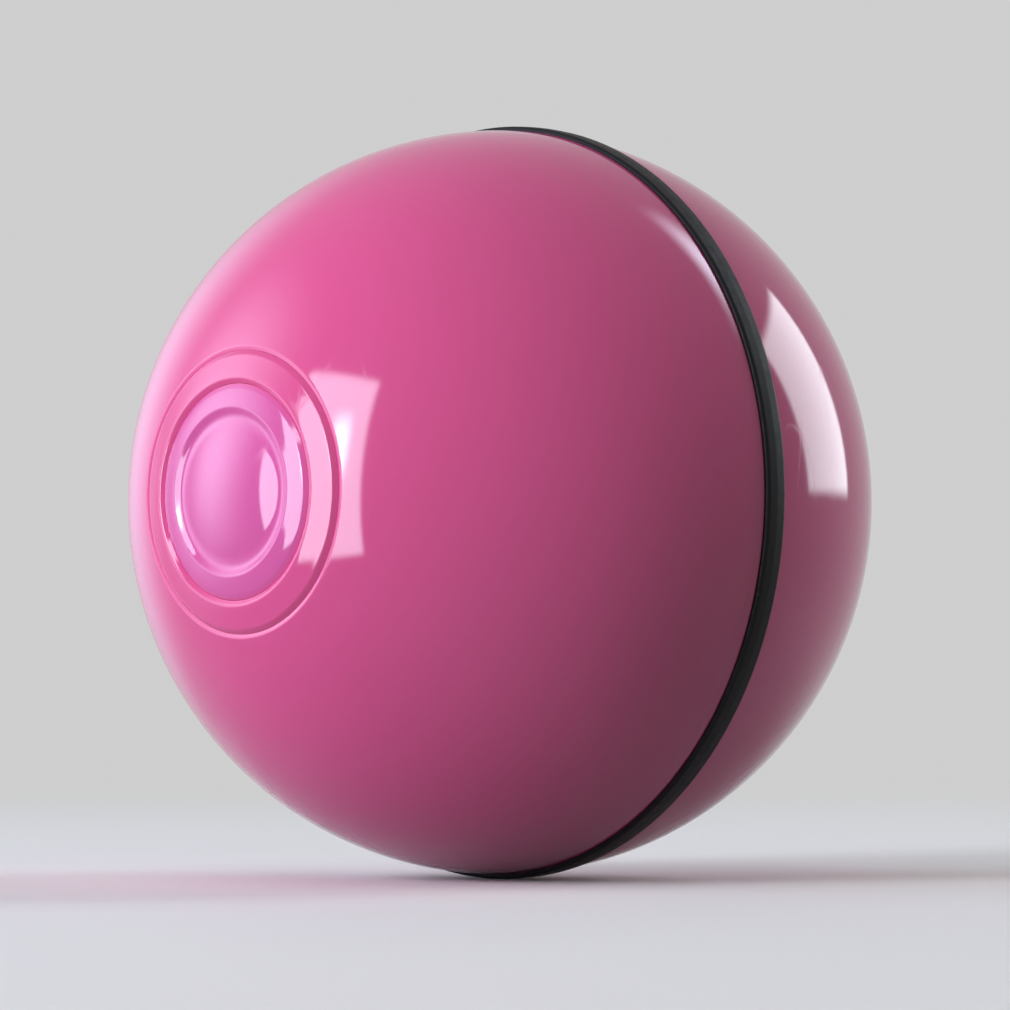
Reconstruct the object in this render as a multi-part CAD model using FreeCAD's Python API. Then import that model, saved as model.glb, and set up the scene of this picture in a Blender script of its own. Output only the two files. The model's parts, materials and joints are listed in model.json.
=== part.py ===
import FreeCAD, Part
import math
import os

# Self-rolling cat ball. Millimetres. The ball's middle is the origin, +Z is up and the rolling axle
# lies along Y, with the button's pole at -Y. Two shells screw together round a weighted carriage,
# which hangs on the axle and drives itself round the gear that is fixed in the left shell.

# Ball, wall and the rubber band round its middle
BALL_R = 32.0
WALL = 2.6
INNER_R = BALL_R - WALL
INNER_STEPS = 3
BAND_WIDTH = 2.2
HALF_BAND = BAND_WIDTH / 2
BAND_PROUD = 0.4
BAND_SEAT_R = 31.0
BAND_PLAY = 0.02

# Screwed joint between the shells, a coarse thread of four starts
NECK_BORE_R = 27.9
NECK_CORE_R = 29.1
NECK_END = 5.6
SOCKET_R = 30.0
SOCKET_END = 6.2
THREAD_STARTS = 4
THREAD_LEAD = 12.0
RIDGE_ROOT = 0.9
RIDGE_CREST = 0.6
MALE_CREST_R = 29.8
FEMALE_CREST_R = 29.3
MALE_FROM = 2.9
MALE_RISE = 2.1
FEMALE_BELOW_MALE = 1.05
FEMALE_LATER = 21.0
FEMALE_RISE = 1.6
RIDGE_SUNK = 0.3

# Ring that seals the two shells
SEAL_IN_R = 30.05
SEAL_OUT_R = 30.95
SEAL_SEAT_R = 31.0
SEAL_SEAT_END = 2.0
SEAL_PLAY = 0.04

# Poles: a bezel and a button on the left, a fixed cap of the same look on the right
POLE_HOLE_R = 11.7
FLOOR_OUT = 27.2
FLOOR_IN = 25.6
RIM_BEVEL = 0.42
BEZEL_OUT_R = 11.65
BEZEL_IN_R = 8.95
BEZEL_POCKET_R = 10.1
BEZEL_LIP = 29.0
BUTTON_R = 8.87
BUTTON_FLANGE_R = 9.8
BUTTON_FLANGE_Y = (28.9, 28.1)
BUTTON_UNDER = 30.0
BUTTON_SKIRT_R = 7.4
ROD_SOCKET_R = 2.2
ROD_SOCKET_FOOT = 28.5
BUTTON_TRAVEL = 0.5
RING_GROOVE_R = (6.25, 7.15)
GROOVE_DEPTH = 0.35
CROWN_R = 3.8
CAP_UNDER = 28.4

# Push rod on the axle, and the spring that lifts the button
ROD_R = 0.8
ROD_HOLE_R = 1.0
ROD_TOP = 30.0
SWITCH_TIP = 14.3
TOUCH_GAP = 0.05
SPRING_R = 3.4
SPRING_WIRE_R = 0.22
SPRING_TURNS = 2.5
WIRE_SIDES = 6

# Gears, all of one module
MODULE = 0.4
PRESSURE = math.radians(20)
TOOTH_PLAY = 0.02
PINION_TEETH = 10
PINION_SHIFT = 0.4
PINION_TIP = 1.2
WHEEL_TIP = 0.6
ROOT_DEPTH = 1.25
HUB_TEETH = 44
OUTPUT_TEETH = 34
FIRST_TEETH = 36
OUTPUT_DROP = 8.0
FIRST_SLOPE = math.radians(-8)

# Hub gear with its hollow journal
HUB_GEAR_Y = (-25.6, -22.9)
JOURNAL_R = 2.2
JOURNAL_END = -17.3
JOURNAL_BORE_R = 0.95
SHOULDER_R = 3.2
SHOULDER_END = -21.1
CLIP_Y = (-18.25, -17.65)
CLIP_GROOVE_R = 1.9
CLIP_R = 3.3
CLIP_MOUTH = 0.8
HUB_SCREWS = 3
HUB_SCREW_R = 5.8
HUB_BOSS_R = 1.5
HUB_BOSS_END = 28.6
HUB_SCREW_END = 28.3
HUB_HEAD_SEAT = -24.1

# Bearings of the carriage
BUSH_Y = (-20.4, -18.45)
BUSH_R = 3.2
BUSH_BORE_R = 2.25
BUSH_FLANGE_R = 4.0
BUSH_FLANGE = 0.5
PIN_R = 1.5
PIN_Y = (15.6, 24.6)
PIN_COLLAR_R = 3.0
PIN_COLLAR_Y = (16.6, 18.4)
END_BUSH_R = 2.6
END_BUSH_BORE_R = 1.55
END_BUSH_Y = (21.7, 24.8)
END_BUSH_FLANGE_R = 3.8
END_BUSH_FLANGE = 0.6
END_BOSS_R = 4.6
SEAT_PLAY = 0.02

# Carriage: a half drum under a flat lid
DRUM_R = 26.0
DRUM_END_R = 18.9
DRUM_STRAIGHT = 9.5
DRUM_END = 20.4
END_WALL = 1.8
DRUM_WALL = 1.4
LID_THICK = 1.6
SADDLE_HALF = 5.0
SADDLE_TOP = 5.0
LID_SCREW_AT = (20.4, 8.6)
LID_PILLAR_R = 2.3
LID_PILLAR_FOOT = -14.0
LID_PILOT_FOOT = -6.0
DRUM_STAVES = 12
COLLAR_ROOM = 3.2
PIN_ROOM = 0.3
LID_OPENING = (-4.8, 4.8, -18.6, -10.0)
MOTOR_LEAD_SLOT = (7.0, 13.0, 5.9, 9.1)
CELL_LEAD_SLOT = (-8.2, -4.2, 13.9, 15.4)

# Gear plate inside the carriage
PLATE_Y = (-14.2, -13.0)
PLATE_R = 20.0
PLATE_TOP = -1.2
PLATE_NOTCH = (4.3, -4.4)
PLATE_POST_AT = (15.6, -2.4)
PLATE_POST_R = 1.9
PLATE_PILOT_END = -17.7

# Gear faces along the axle
FIRST_WHEEL_Y = (-16.2, -14.7)
FIRST_PINION_Y = (-18.3, -16.2)
OUTPUT_WHEEL_Y = (-18.2, -16.7)
DRIVE_PINION_Y = (-25.1, -22.9)
MOTOR_PINION_Y = (-16.6, -14.5)
GEAR_PIN_R = 0.5
GEAR_PIN_Y = (-20.0, -13.2)
OUTPUT_SHAFT_R = 0.75
OUTPUT_SHAFT_Y = (-25.1, -13.2)
RUNNING_PLAY = 0.03

# Motor
CAN_R = 6.0
CAN_FLAT = 5.0
CAN_WALL = 0.5
CAN_Y = (-13.0, 0.5)
CAN_BOSS_R = 2.0
CAN_BOSS = 0.8
MOTOR_SHAFT_R = 0.5
MOTOR_SHAFT_Y = (-16.8, 2.2)
END_CAP_THICK = 2.0
END_CAP_PLUG = 0.8
MAGNET_IN_R = 4.1
MAGNET_HALF = 3.0
MAGNET_Y = (-11.0, -2.0)
ARMATURE_R = 3.7
ARMATURE_Y = (-10.6, -2.6)
POLE_COUNT = 3
POLE_SLOT_R = 1.55
POLE_SLOT_AT = 2.44
COMMUTATOR_R = 1.3
COMMUTATOR_END = -0.7
MOTOR_SCREW_SPACING = 9.0

# Battery tray, cell and steel weight
TRAY_Z = (-15.8, -14.6)
TRAY_HALF = (15.8, 12.0)
TRAY_TAB_AT = (8.0, 14.2)
TRAY_TAB_HALF = 2.0
TRAY_RIB = (0.6, 8.0, 2.5)
TAB_POST_R = 2.0
TAB_PILOT_FOOT = -19.0
PAD_THICK = 1.0
CELL = (19.0, 24.0, 5.0)
CELL_X = -15.6
CELL_PLAY = 0.1
CELL_EDGE = 0.8
PAD_INSET = 1.5
WEIGHT_TOP = -15.82
WEIGHT_PLAY = 0.3
WEIGHT_HALF = 11.8

# Circuit boards and what stands on them
BOARD_THICK = 1.0
BOARD_Z = 5.4
BOARD_HALF = 12.0
BOARD_Y = (-13.0, 20.0)
BOARD_POSTS = ((-10.0, -8.5), (10.0, -8.5), (-10.0, 15.5), (10.0, 15.5))
BOARD_POST_R = 1.6
BOARD_PILOT_FOOT = 2.0
SWITCH_BOARD_Y = (-11.4, -10.4)
SWITCH_BOARD_HALF = 4.0
SWITCH_BOARD_FOOT = -3.4
SWITCH_BODY_Y = (-13.2, -11.4)
SWITCH_HALF = 2.3
SWITCH_FLOOR = -11.8
PLUNGER_R = 1.1
USB_WIDTH = 8.94
USB_HEIGHT = 3.26
USB_Y = (13.2, 20.5)
USB_WALL = 0.3
USB_BACK = 1.0
USB_TONGUE = (6.7, 0.7)
USB_TONGUE_SHORT = 0.7
CONTROLLER = (5.0, 5.0, 1.5)
CONTROLLER_AT = (-5.5, -3.5)
CHARGER = (4.0, 5.0, 1.5)
CHARGER_AT = (-6.0, 4.5)
DRIVER = (2.8, 3.0, 1.1)
DRIVER_AT = (0.0, 7.1)
COIL = (4.0, 4.0, 2.0)
COIL_AT = (4.6, 8.0)
SMALL_PART = (1.6, 0.8, 0.6)
SMALL_PARTS_AT = ((-0.4, -3.6), (-0.4, -1.2), (-6.4, 9.6), (-3.8, 9.6), (-8.2, 18.0))
LIGHT_AT = (8.2, 18.0)
LIGHT_HALF = (0.8, 0.4)
LIGHT_SHOULDER = 0.3
LIGHT_BASE = 0.3
LIGHT_TOP = 0.7
SENSOR_R = 2.2
SENSOR_Y = (-7.0, 3.0)
SENSOR_X = 6.4
LEAD_R = 0.5
LEAD_BEND_R = 2.6
MOTOR_LEAD_X = (8.4, 11.4)
MOTOR_LEAD_TURN = 7.5
CELL_LEAD_X = (-7.4, -5.0)
CELL_LEAD_TURN = 14.65

# Screws
SCREW_R = 0.8
SCREW_PILOT_R = 0.85
SCREW_HOLE_R = 1.0
HEAD_R = 1.6
HEAD_HOLE_R = 1.75
HEAD_HEIGHT = 1.0
SMALL_SCREW_R = 0.6
SMALL_PILOT_R = 0.65
SMALL_HEAD_R = 1.3
SMALL_HEAD_HOLE_R = 1.4
SMALL_HEAD = 0.8

# Screws, their holes and the small posts are drawn with few sides
SCREW_SIDES = 6
POST_SIDES = 8

ORIGIN = FreeCAD.Vector(0, 0, 0)
AXLE = FreeCAD.Vector(0, 1, 0)
UP = FreeCAD.Vector(0, 0, 1)
RIGHT = FreeCAD.Vector(1, 0, 0)


def vector(x, y, z):
    return FreeCAD.Vector(x, y, z)


def ball_y(r, radius=BALL_R):
    """How far from the middle plane a sphere's surface lies at a radius from the axle."""
    return math.sqrt(radius * radius - r * r)


def turned(steps, sweep=360.0):
    """Solid turned about the axle from corners (r, y), with (r, y, r_mid, y_mid) after an arc."""
    corners = [vector(step[0], step[1], 0) for step in steps]
    edges = []
    for i, step in enumerate(steps):
        start = corners[i - 1]
        if len(step) == 4:
            middle = vector(step[2], step[3], 0)
            edges.append(Part.Arc(start, middle, corners[i]).toShape())
        else:
            edges.append(Part.makeLine(start, corners[i]))
    return Part.Face(Part.Wire(edges)).revolve(ORIGIN, AXLE, sweep)


def bar_y(x, z, r, y_low, y_high):
    """Round bar parallel to the axle."""
    return Part.makeCylinder(r, y_high - y_low, vector(x, y_low, z), AXLE)


def tube_y(x, z, r_out, r_in, y_low, y_high):
    """Round tube parallel to the axle."""
    return bar_y(x, z, r_out, y_low, y_high).cut(bar_y(x, z, r_in, y_low, y_high))


def block(x_low, x_high, y_low, y_high, z_low, z_high):
    return Part.makeBox(x_high - x_low, y_high - y_low, z_high - z_low, vector(x_low, y_low, z_low))


def ring(centre, across, along, r, sides):
    """Closed outline of equal sides round a centre, in the plane of two directions."""
    turns = [2 * math.pi * i / sides for i in range(sides)]
    corners = [centre + across * (r * math.cos(a)) + along * (r * math.sin(a)) for a in turns]
    return Part.makePolygon(corners + corners[:1])


def prism_y(x, z, r, y_low, y_high, sides):
    outline = ring(vector(x, y_low, z), RIGHT, UP, r, sides)
    return Part.Face(outline).extrude(AXLE * (y_high - y_low))


def prism_z(x, y, r, z_low, z_high, sides):
    outline = ring(vector(x, y, z_low), RIGHT, AXLE, r, sides)
    return Part.Face(outline).extrude(UP * (z_high - z_low))


def fused(shapes):
    return shapes[0].multiFuse(shapes[1:]).removeSplitter()


def group(shapes):
    return Part.makeCompound(shapes)


def save(name, shape):
    """Writes one node and reports its size."""
    shape.exportStep(os.path.join("parts", name + ".step"))
    solids = len(shape.Solids)
    print(f"{name}: {solids} solid(s), {shape.Volume:.1f} mm3, valid {shape.isValid()}")


# Shells

def helix_ridge(r_root, r_crest, y_from, rise, start_turn):
    """One ridge of the coarse thread: a trapezium carried up a right-handed helix round the axle."""
    helix = Part.makeHelix(THREAD_LEAD, rise, r_root)
    corners = [
        vector(r_root, 0, -RIDGE_ROOT / 2),
        vector(r_crest, 0, -RIDGE_CREST / 2),
        vector(r_crest, 0, RIDGE_CREST / 2),
        vector(r_root, 0, RIDGE_ROOT / 2),
    ]
    section = Part.makePolygon(corners + corners[:1])
    ridge = Part.Wire(helix.Edges).makePipeShell([section], True, True)
    ridge.rotate(ORIGIN, RIGHT, -90)
    ridge.translate(vector(0, y_from, 0))
    ridge.rotate(ORIGIN, AXLE, start_turn)
    return ridge


def thread_ridges(r_root, r_crest, y_from, rise, later):
    turn = 360.0 / THREAD_STARTS
    return [helix_ridge(r_root, r_crest, y_from, rise, later + i * turn) for i in range(THREAD_STARTS)]


def inner_dome(r_from, r_to):
    """Corners (r, y) of the wall's inside between two radii, as short cones on the inner sphere."""
    low = math.acos(r_from / INNER_R)
    high = math.acos(r_to / INNER_R)
    angles = [low + (high - low) * i / INNER_STEPS for i in range(INNER_STEPS + 1)]
    return [(INNER_R * math.cos(a), INNER_R * math.sin(a)) for a in angles]


def outer_wall():
    """Corners (r, y) of the outside from the band to the pole's floor, with a bevelled rim."""
    rim_r = POLE_HOLE_R + RIM_BEVEL
    angle = (math.asin(HALF_BAND / BALL_R) + math.acos(rim_r / BALL_R)) / 2
    return [
        (ball_y(HALF_BAND), HALF_BAND),
        (rim_r, ball_y(rim_r), BALL_R * math.cos(angle), BALL_R * math.sin(angle)),
        (POLE_HOLE_R, ball_y(POLE_HOLE_R) - RIM_BEVEL),
        (POLE_HOLE_R, FLOOR_OUT),
    ]


def mirror_steps(steps):
    """The same corners on the other side of the middle plane."""
    return [tuple(-v if i % 2 else v for i, v in enumerate(step)) for step in steps]


def hub_screw_places():
    turns = [math.radians(90 + i * 360 / HUB_SCREWS) for i in range(HUB_SCREWS)]
    return [(HUB_SCREW_R * math.cos(a), HUB_SCREW_R * math.sin(a)) for a in turns]


def left_shell():
    """Half shell with the band's seat, the threaded neck and the floor that carries the hub gear."""
    steps = outer_wall() + [(ROD_HOLE_R, FLOOR_OUT), (ROD_HOLE_R, FLOOR_IN)]
    steps = mirror_steps(steps + inner_dome(ball_y(FLOOR_IN, INNER_R), NECK_BORE_R))
    steps += [
        (NECK_BORE_R, NECK_END),
        (NECK_CORE_R, NECK_END),
        (NECK_CORE_R, HALF_BAND),
        (BAND_SEAT_R, HALF_BAND),
        (BAND_SEAT_R, -HALF_BAND),
    ]
    ridges = thread_ridges(NECK_CORE_R - RIDGE_SUNK, MALE_CREST_R, MALE_FROM, MALE_RISE, 0.0)
    places = hub_screw_places()
    bosses = [prism_y(x, z, HUB_BOSS_R, -HUB_BOSS_END, -FLOOR_OUT, POST_SIDES) for x, z in places]
    pilots = [prism_y(x, z, SCREW_PILOT_R, -HUB_SCREW_END, -FLOOR_IN, SCREW_SIDES) for x, z in places]
    return fused([turned(steps)] + ridges + bosses).cut(group(pilots))


def right_shell():
    """Half shell with the threaded socket, the seal's seat and the boss of the end bush."""
    dome_foot = ball_y(SOCKET_END, INNER_R)
    steps = [(SEAL_SEAT_R, HALF_BAND)] + outer_wall()
    steps += [
        (0, FLOOR_OUT),
        (0, END_BUSH_Y[1] + SEAT_PLAY),
        (END_BUSH_R + SEAT_PLAY, END_BUSH_Y[1] + SEAT_PLAY),
        (END_BUSH_R + SEAT_PLAY, END_BUSH_Y[0]),
        (END_BOSS_R, END_BUSH_Y[0]),
        (END_BOSS_R, FLOOR_IN),
    ]
    steps += inner_dome(ball_y(FLOOR_IN, INNER_R), dome_foot)
    steps += [(SOCKET_R, SOCKET_END), (SOCKET_R, SEAL_SEAT_END), (SEAL_SEAT_R, SEAL_SEAT_END)]
    low = MALE_FROM - FEMALE_BELOW_MALE + FEMALE_LATER / 360 * THREAD_LEAD
    ridges = thread_ridges(SOCKET_R + RIDGE_SUNK, FEMALE_CREST_R, low, FEMALE_RISE, FEMALE_LATER)
    return fused([turned(steps)] + ridges)


def tread_band():
    """Rubber ring in its seat round the middle, a little proud of the ball."""
    half = HALF_BAND - BAND_PLAY
    r_low, r_high = BAND_SEAT_R + BAND_PLAY, BALL_R + BAND_PROUD
    return turned([(r_low, -half), (r_high, -half), (r_high, half), (r_low, half)])


def seal_ring():
    low, high = HALF_BAND + SEAL_PLAY, SEAL_SEAT_END - SEAL_PLAY
    return turned([(SEAL_IN_R, low), (SEAL_OUT_R, low), (SEAL_OUT_R, high), (SEAL_IN_R, high)])


# Poles

def groove(inner, outer):
    """Corners (r, y) of a V-shaped ring groove in the ball's surface."""
    middle = (inner + outer) / 2
    return [(inner, ball_y(inner)), (middle, ball_y(middle) - GROOVE_DEPTH), (outer, ball_y(outer))]


def ringed_face():
    """Corners (r, y) of the button's face from the middle out: crown, ring groove, rim."""
    return [(0, ball_y(CROWN_R)), (CROWN_R, ball_y(CROWN_R))] + groove(*RING_GROOVE_R)


def pole_bezel():
    """Ring round the button, with a lip that keeps the button's flange in."""
    top_in, top_out = BEZEL_IN_R + RIM_BEVEL, BEZEL_OUT_R - RIM_BEVEL
    steps = [
        (BEZEL_IN_R, ball_y(BEZEL_IN_R) - RIM_BEVEL),
        (top_in, ball_y(top_in)),
        (top_out, ball_y(top_out)),
        (BEZEL_OUT_R, ball_y(BEZEL_OUT_R) - RIM_BEVEL),
        (BEZEL_OUT_R, FLOOR_OUT),
        (BEZEL_POCKET_R, FLOOR_OUT),
        (BEZEL_POCKET_R, BEZEL_LIP),
        (BEZEL_IN_R, BEZEL_LIP),
    ]
    return turned(mirror_steps(steps))


def button_cap():
    """Domed push button: skirt, flange under the bezel's lip and a socket for the rod."""
    flange_top, flange_foot = BUTTON_FLANGE_Y
    slope = WALL / 4
    steps = ringed_face() + [
        (BUTTON_R - RIM_BEVEL, ball_y(BUTTON_R - RIM_BEVEL)),
        (BUTTON_R, ball_y(BUTTON_R) - RIM_BEVEL),
        (BUTTON_R, flange_top),
        (BUTTON_FLANGE_R, flange_top),
        (BUTTON_FLANGE_R, flange_foot),
        (BUTTON_SKIRT_R, flange_foot),
        (BUTTON_SKIRT_R, BUTTON_UNDER - slope),
        (BUTTON_SKIRT_R - slope, BUTTON_UNDER),
        (ROD_SOCKET_R, BUTTON_UNDER),
        (ROD_SOCKET_R, ROD_SOCKET_FOOT),
        (ROD_R, ROD_SOCKET_FOOT),
        (ROD_R, ROD_TOP),
        (0, ROD_TOP),
    ]
    return turned(mirror_steps(steps))


def right_pole_cap():
    """Fixed cap of the right pole, with the button's rings as grooves."""
    rim_r = BEZEL_OUT_R - RIM_BEVEL
    steps = ringed_face() + groove(BUTTON_R - RIM_BEVEL, BEZEL_IN_R + RIM_BEVEL)
    steps += [
        (rim_r, ball_y(rim_r)),
        (BEZEL_OUT_R, ball_y(BEZEL_OUT_R) - RIM_BEVEL),
        (BEZEL_OUT_R, FLOOR_OUT),
        (BEZEL_POCKET_R, FLOOR_OUT),
        (BEZEL_POCKET_R, CAP_UNDER),
        (0, CAP_UNDER),
    ]
    return turned(steps)


def push_rod():
    return bar_y(0, 0, ROD_R, -ROD_TOP, -SWITCH_TIP - TOUCH_GAP)


def button_spring():
    """Open coil between the floor and the button, its least gap to itself printed."""
    low = -BUTTON_UNDER + SPRING_WIRE_R + SEAT_PLAY
    high = -FLOOR_OUT - SPRING_WIRE_R - SEAT_PLAY
    pitch = (high - low) / SPRING_TURNS
    coil = Part.makeHelix(pitch, high - low, SPRING_R)
    section = ring(vector(SPRING_R, 0, 0), RIGHT, UP, SPRING_WIRE_R, WIRE_SIDES)
    spring = Part.Wire(coil.Edges).makePipeShell([section], True, True)
    spring.rotate(ORIGIN, RIGHT, -90)
    spring.translate(AXLE * low)
    print(f"button_spring: least gap between turns {pitch - 2 * SPRING_WIRE_R:.2f} mm")
    return spring


# Gears

def pitch_radius(teeth):
    return MODULE * teeth / 2


def tooth_half_angle(teeth, shift, r):
    """Half the angle that a tooth covers at a radius, on the involute of its base circle."""
    pitch = pitch_radius(teeth)
    base = pitch * math.cos(PRESSURE)
    at_pitch = (math.pi / 2 + 2 * shift * math.tan(PRESSURE)) / teeth - TOOTH_PLAY / pitch
    lean = math.acos(min(1.0, base / r))
    return at_pitch + math.tan(PRESSURE) - PRESSURE - (math.tan(lean) - lean)


def gear(teeth, shift, tip, centre, span, phase):
    """Spur gear round a centre (x, z), each flank a chord of the involute from root to tip."""
    pitch = pitch_radius(teeth)
    root_r = pitch - (ROOT_DEPTH - shift) * MODULE
    tip_r = pitch + tip * MODULE
    root_half = tooth_half_angle(teeth, shift, root_r)
    tip_half = tooth_half_angle(teeth, shift, tip_r)
    tooth = ((root_r, -root_half), (tip_r, -tip_half), (tip_r, tip_half), (root_r, root_half))
    corners = []
    for i in range(teeth):
        middle = phase + i * 2 * math.pi / teeth
        for r, offset in tooth:
            x = centre[0] + r * math.cos(middle + offset)
            z = centre[1] + r * math.sin(middle + offset)
            corners.append(vector(x, span[0], z))
    outline = Part.makePolygon(corners + corners[:1])
    return Part.Face(outline).extrude(AXLE * (span[1] - span[0]))


def wheel(teeth, centre, span, phase):
    return gear(teeth, -PINION_SHIFT, WHEEL_TIP, centre, span, phase)


def pinion(centre, span, phase):
    return gear(PINION_TEETH, PINION_SHIFT, PINION_TIP, centre, span, phase)


def centre_distance(teeth):
    return pitch_radius(teeth) + pitch_radius(PINION_TEETH)


def train():
    """Centres (x, z) of the output shaft, the first gear's pin and the motor."""
    reach = centre_distance(HUB_TEETH)
    output = (-math.sqrt(reach ** 2 - OUTPUT_DROP ** 2), -OUTPUT_DROP)
    step = centre_distance(OUTPUT_TEETH)
    first = (output[0] + step * math.cos(FIRST_SLOPE), output[1] + step * math.sin(FIRST_SLOPE))
    motor = (first[0] + centre_distance(FIRST_TEETH), first[1])
    return output, first, motor


OUTPUT_AT, FIRST_AT, MOTOR_AT = train()


def meshing_phase(teeth, phase, centre, partner_centre):
    """Phase of a pinion whose gap takes the tooth of the wheel that it meets."""
    way = math.atan2(partner_centre[1] - centre[1], partner_centre[0] - centre[0])
    past_tooth = (way - phase) * teeth / (2 * math.pi) % 1
    return way + math.pi + (past_tooth + 0.5) * 2 * math.pi / PINION_TEETH


def hub_gear():
    """Gear fixed to the left shell's floor, in one piece with the hollow journal."""
    disc = wheel(HUB_TEETH, (0, 0), HUB_GEAR_Y, 0.0)
    shoulder = bar_y(0, 0, SHOULDER_R, HUB_GEAR_Y[1], SHOULDER_END)
    journal = bar_y(0, 0, JOURNAL_R, SHOULDER_END, JOURNAL_END)
    groove = tube_y(0, 0, JOURNAL_R, CLIP_GROOVE_R, *CLIP_Y)
    hub = fused([disc, shoulder, journal]).cut(groove)
    hub = hub.cut(bar_y(0, 0, JOURNAL_BORE_R, HUB_GEAR_Y[0], JOURNAL_END))
    holes = []
    for x, z in hub_screw_places():
        holes.append(prism_y(x, z, SCREW_HOLE_R, *HUB_GEAR_Y, SCREW_SIDES))
        holes.append(prism_y(x, z, HEAD_HOLE_R, HUB_HEAD_SEAT, HUB_GEAR_Y[1], POST_SIDES))
    return hub.cut(group(holes))


def hub_clip():
    """Open retaining ring in the journal's groove."""
    low, high = CLIP_Y[0] + SEAT_PLAY, CLIP_Y[1] - SEAT_PLAY
    ring = tube_y(0, 0, CLIP_R, CLIP_GROOVE_R + SEAT_PLAY, low, high)
    mouth = CLIP_GROOVE_R * CLIP_MOUTH
    return ring.cut(block(-mouth, mouth, low, high, 0, CLIP_R))


def first_gear():
    """Compound gear: a wheel for the motor's pinion and a pinion for the output wheel."""
    big = wheel(FIRST_TEETH, FIRST_AT, FIRST_WHEEL_Y, 0.0)
    phase = meshing_phase(OUTPUT_TEETH, 0.0, OUTPUT_AT, FIRST_AT)
    small = pinion(FIRST_AT, FIRST_PINION_Y, phase)
    bore = bar_y(*FIRST_AT, GEAR_PIN_R + RUNNING_PLAY, FIRST_PINION_Y[0], FIRST_WHEEL_Y[1])
    return fused([big, small]).cut(bore)


def output_wheel():
    body = wheel(OUTPUT_TEETH, OUTPUT_AT, OUTPUT_WHEEL_Y, 0.0)
    return body.cut(bar_y(*OUTPUT_AT, OUTPUT_SHAFT_R, *OUTPUT_WHEEL_Y))


def drive_pinion():
    phase = meshing_phase(HUB_TEETH, 0.0, (0, 0), OUTPUT_AT)
    body = pinion(OUTPUT_AT, DRIVE_PINION_Y, phase)
    return body.cut(bar_y(*OUTPUT_AT, OUTPUT_SHAFT_R, *DRIVE_PINION_Y))


def motor_pinion():
    phase = meshing_phase(FIRST_TEETH, 0.0, FIRST_AT, MOTOR_AT)
    body = pinion(MOTOR_AT, MOTOR_PINION_Y, phase)
    return body.cut(bar_y(*MOTOR_AT, MOTOR_SHAFT_R, *MOTOR_PINION_Y))


def output_shaft():
    return bar_y(*OUTPUT_AT, OUTPUT_SHAFT_R, *OUTPUT_SHAFT_Y)


def gear_pin():
    return bar_y(*FIRST_AT, GEAR_PIN_R, *GEAR_PIN_Y)


# Carriage

def drum_profile(inset, end):
    """Corners (r, y) of half the drum's outline, moved in by a wall, with its ends at +-end."""
    slope = (DRUM_R - DRUM_END_R) / (DRUM_END - DRUM_STRAIGHT)
    shift = inset * math.hypot(1, slope)
    end_r = DRUM_END_R - shift + (DRUM_END - end) * slope
    side_r = DRUM_R - inset
    bend = end - (side_r - end_r) / slope
    return [(0, -end), (end_r, -end), (side_r, -bend), (side_r, bend), (end_r, end), (0, end)]


def staved_drum(inset, end):
    """Half drum of flat staves below the axle, its outline moved in by a wall."""
    profile = drum_profile(inset, end)[1:-1]
    angles = [math.pi + math.pi * i / DRUM_STAVES for i in range(DRUM_STAVES + 1)]
    hoops = [[vector(r * math.cos(a), y, r * math.sin(a)) for a in angles] for r, y in profile]
    top = [hoop[0] for hoop in hoops] + [hoop[-1] for hoop in reversed(hoops)]
    outlines = [hoops[0], hoops[-1], top]
    for near, far in zip(hoops, hoops[1:]):
        outlines += [[near[i], near[i + 1], far[i + 1], far[i]] for i in range(DRUM_STAVES)]
    faces = [Part.Face(Part.makePolygon(corners + corners[:1])) for corners in outlines]
    return Part.makeSolid(Part.makeShell(faces))


def mirrored(make, x, *rest):
    """The same feature on both sides of the axle."""
    return [make(x, *rest), make(-x, *rest)]


def lid_screw_places():
    x, y = LID_SCREW_AT
    return [(i * x, j * y) for i in (-1, 1) for j in (-1, 1)]


def carriage_tub():
    """Lower half of the carriage: a half drum with end walls, pillars and bearing seats."""
    outside = staved_drum(0, DRUM_END)
    inside = staved_drum(DRUM_WALL, DRUM_END - END_WALL)
    end_face = DRUM_END - END_WALL
    post_x, post_z = PLATE_POST_AT
    tab_x, tab_y = TRAY_TAB_AT
    features = mirrored(prism_y, post_x, post_z, PLATE_POST_R, -end_face, PLATE_Y[0], POST_SIDES)
    features += mirrored(prism_z, tab_x, tab_y, TAB_POST_R, -DRUM_R, TRAY_Z[0], POST_SIDES)
    holes = mirrored(prism_y, post_x, post_z, SCREW_PILOT_R, PLATE_PILOT_END, PLATE_Y[0], SCREW_SIDES)
    for x, y in lid_screw_places():
        features.append(prism_z(x, y, LID_PILLAR_R, LID_PILLAR_FOOT, 0, POST_SIDES))
        holes.append(prism_z(x, y, SCREW_PILOT_R, LID_PILOT_FOOT, 0, SCREW_SIDES))
    kept = [feature.common(outside) for feature in features]
    holes += mirrored(prism_z, tab_x, tab_y, SCREW_PILOT_R, TAB_PILOT_FOOT, TRAY_Z[0], SCREW_SIDES)
    holes.append(bar_y(0, 0, BUSH_R + SEAT_PLAY, -DRUM_END, -end_face))
    holes.append(bar_y(0, 0, PIN_R + SEAT_PLAY, end_face, DRUM_END))
    holes.append(bar_y(*OUTPUT_AT, OUTPUT_SHAFT_R + RUNNING_PLAY, -DRUM_END, -end_face))
    holes.append(bar_y(*FIRST_AT, GEAR_PIN_R + SEAT_PLAY, GEAR_PIN_Y[0] - SEAT_PLAY, -end_face))
    return fused([outside.cut(inside)] + kept).cut(group(holes))


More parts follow.
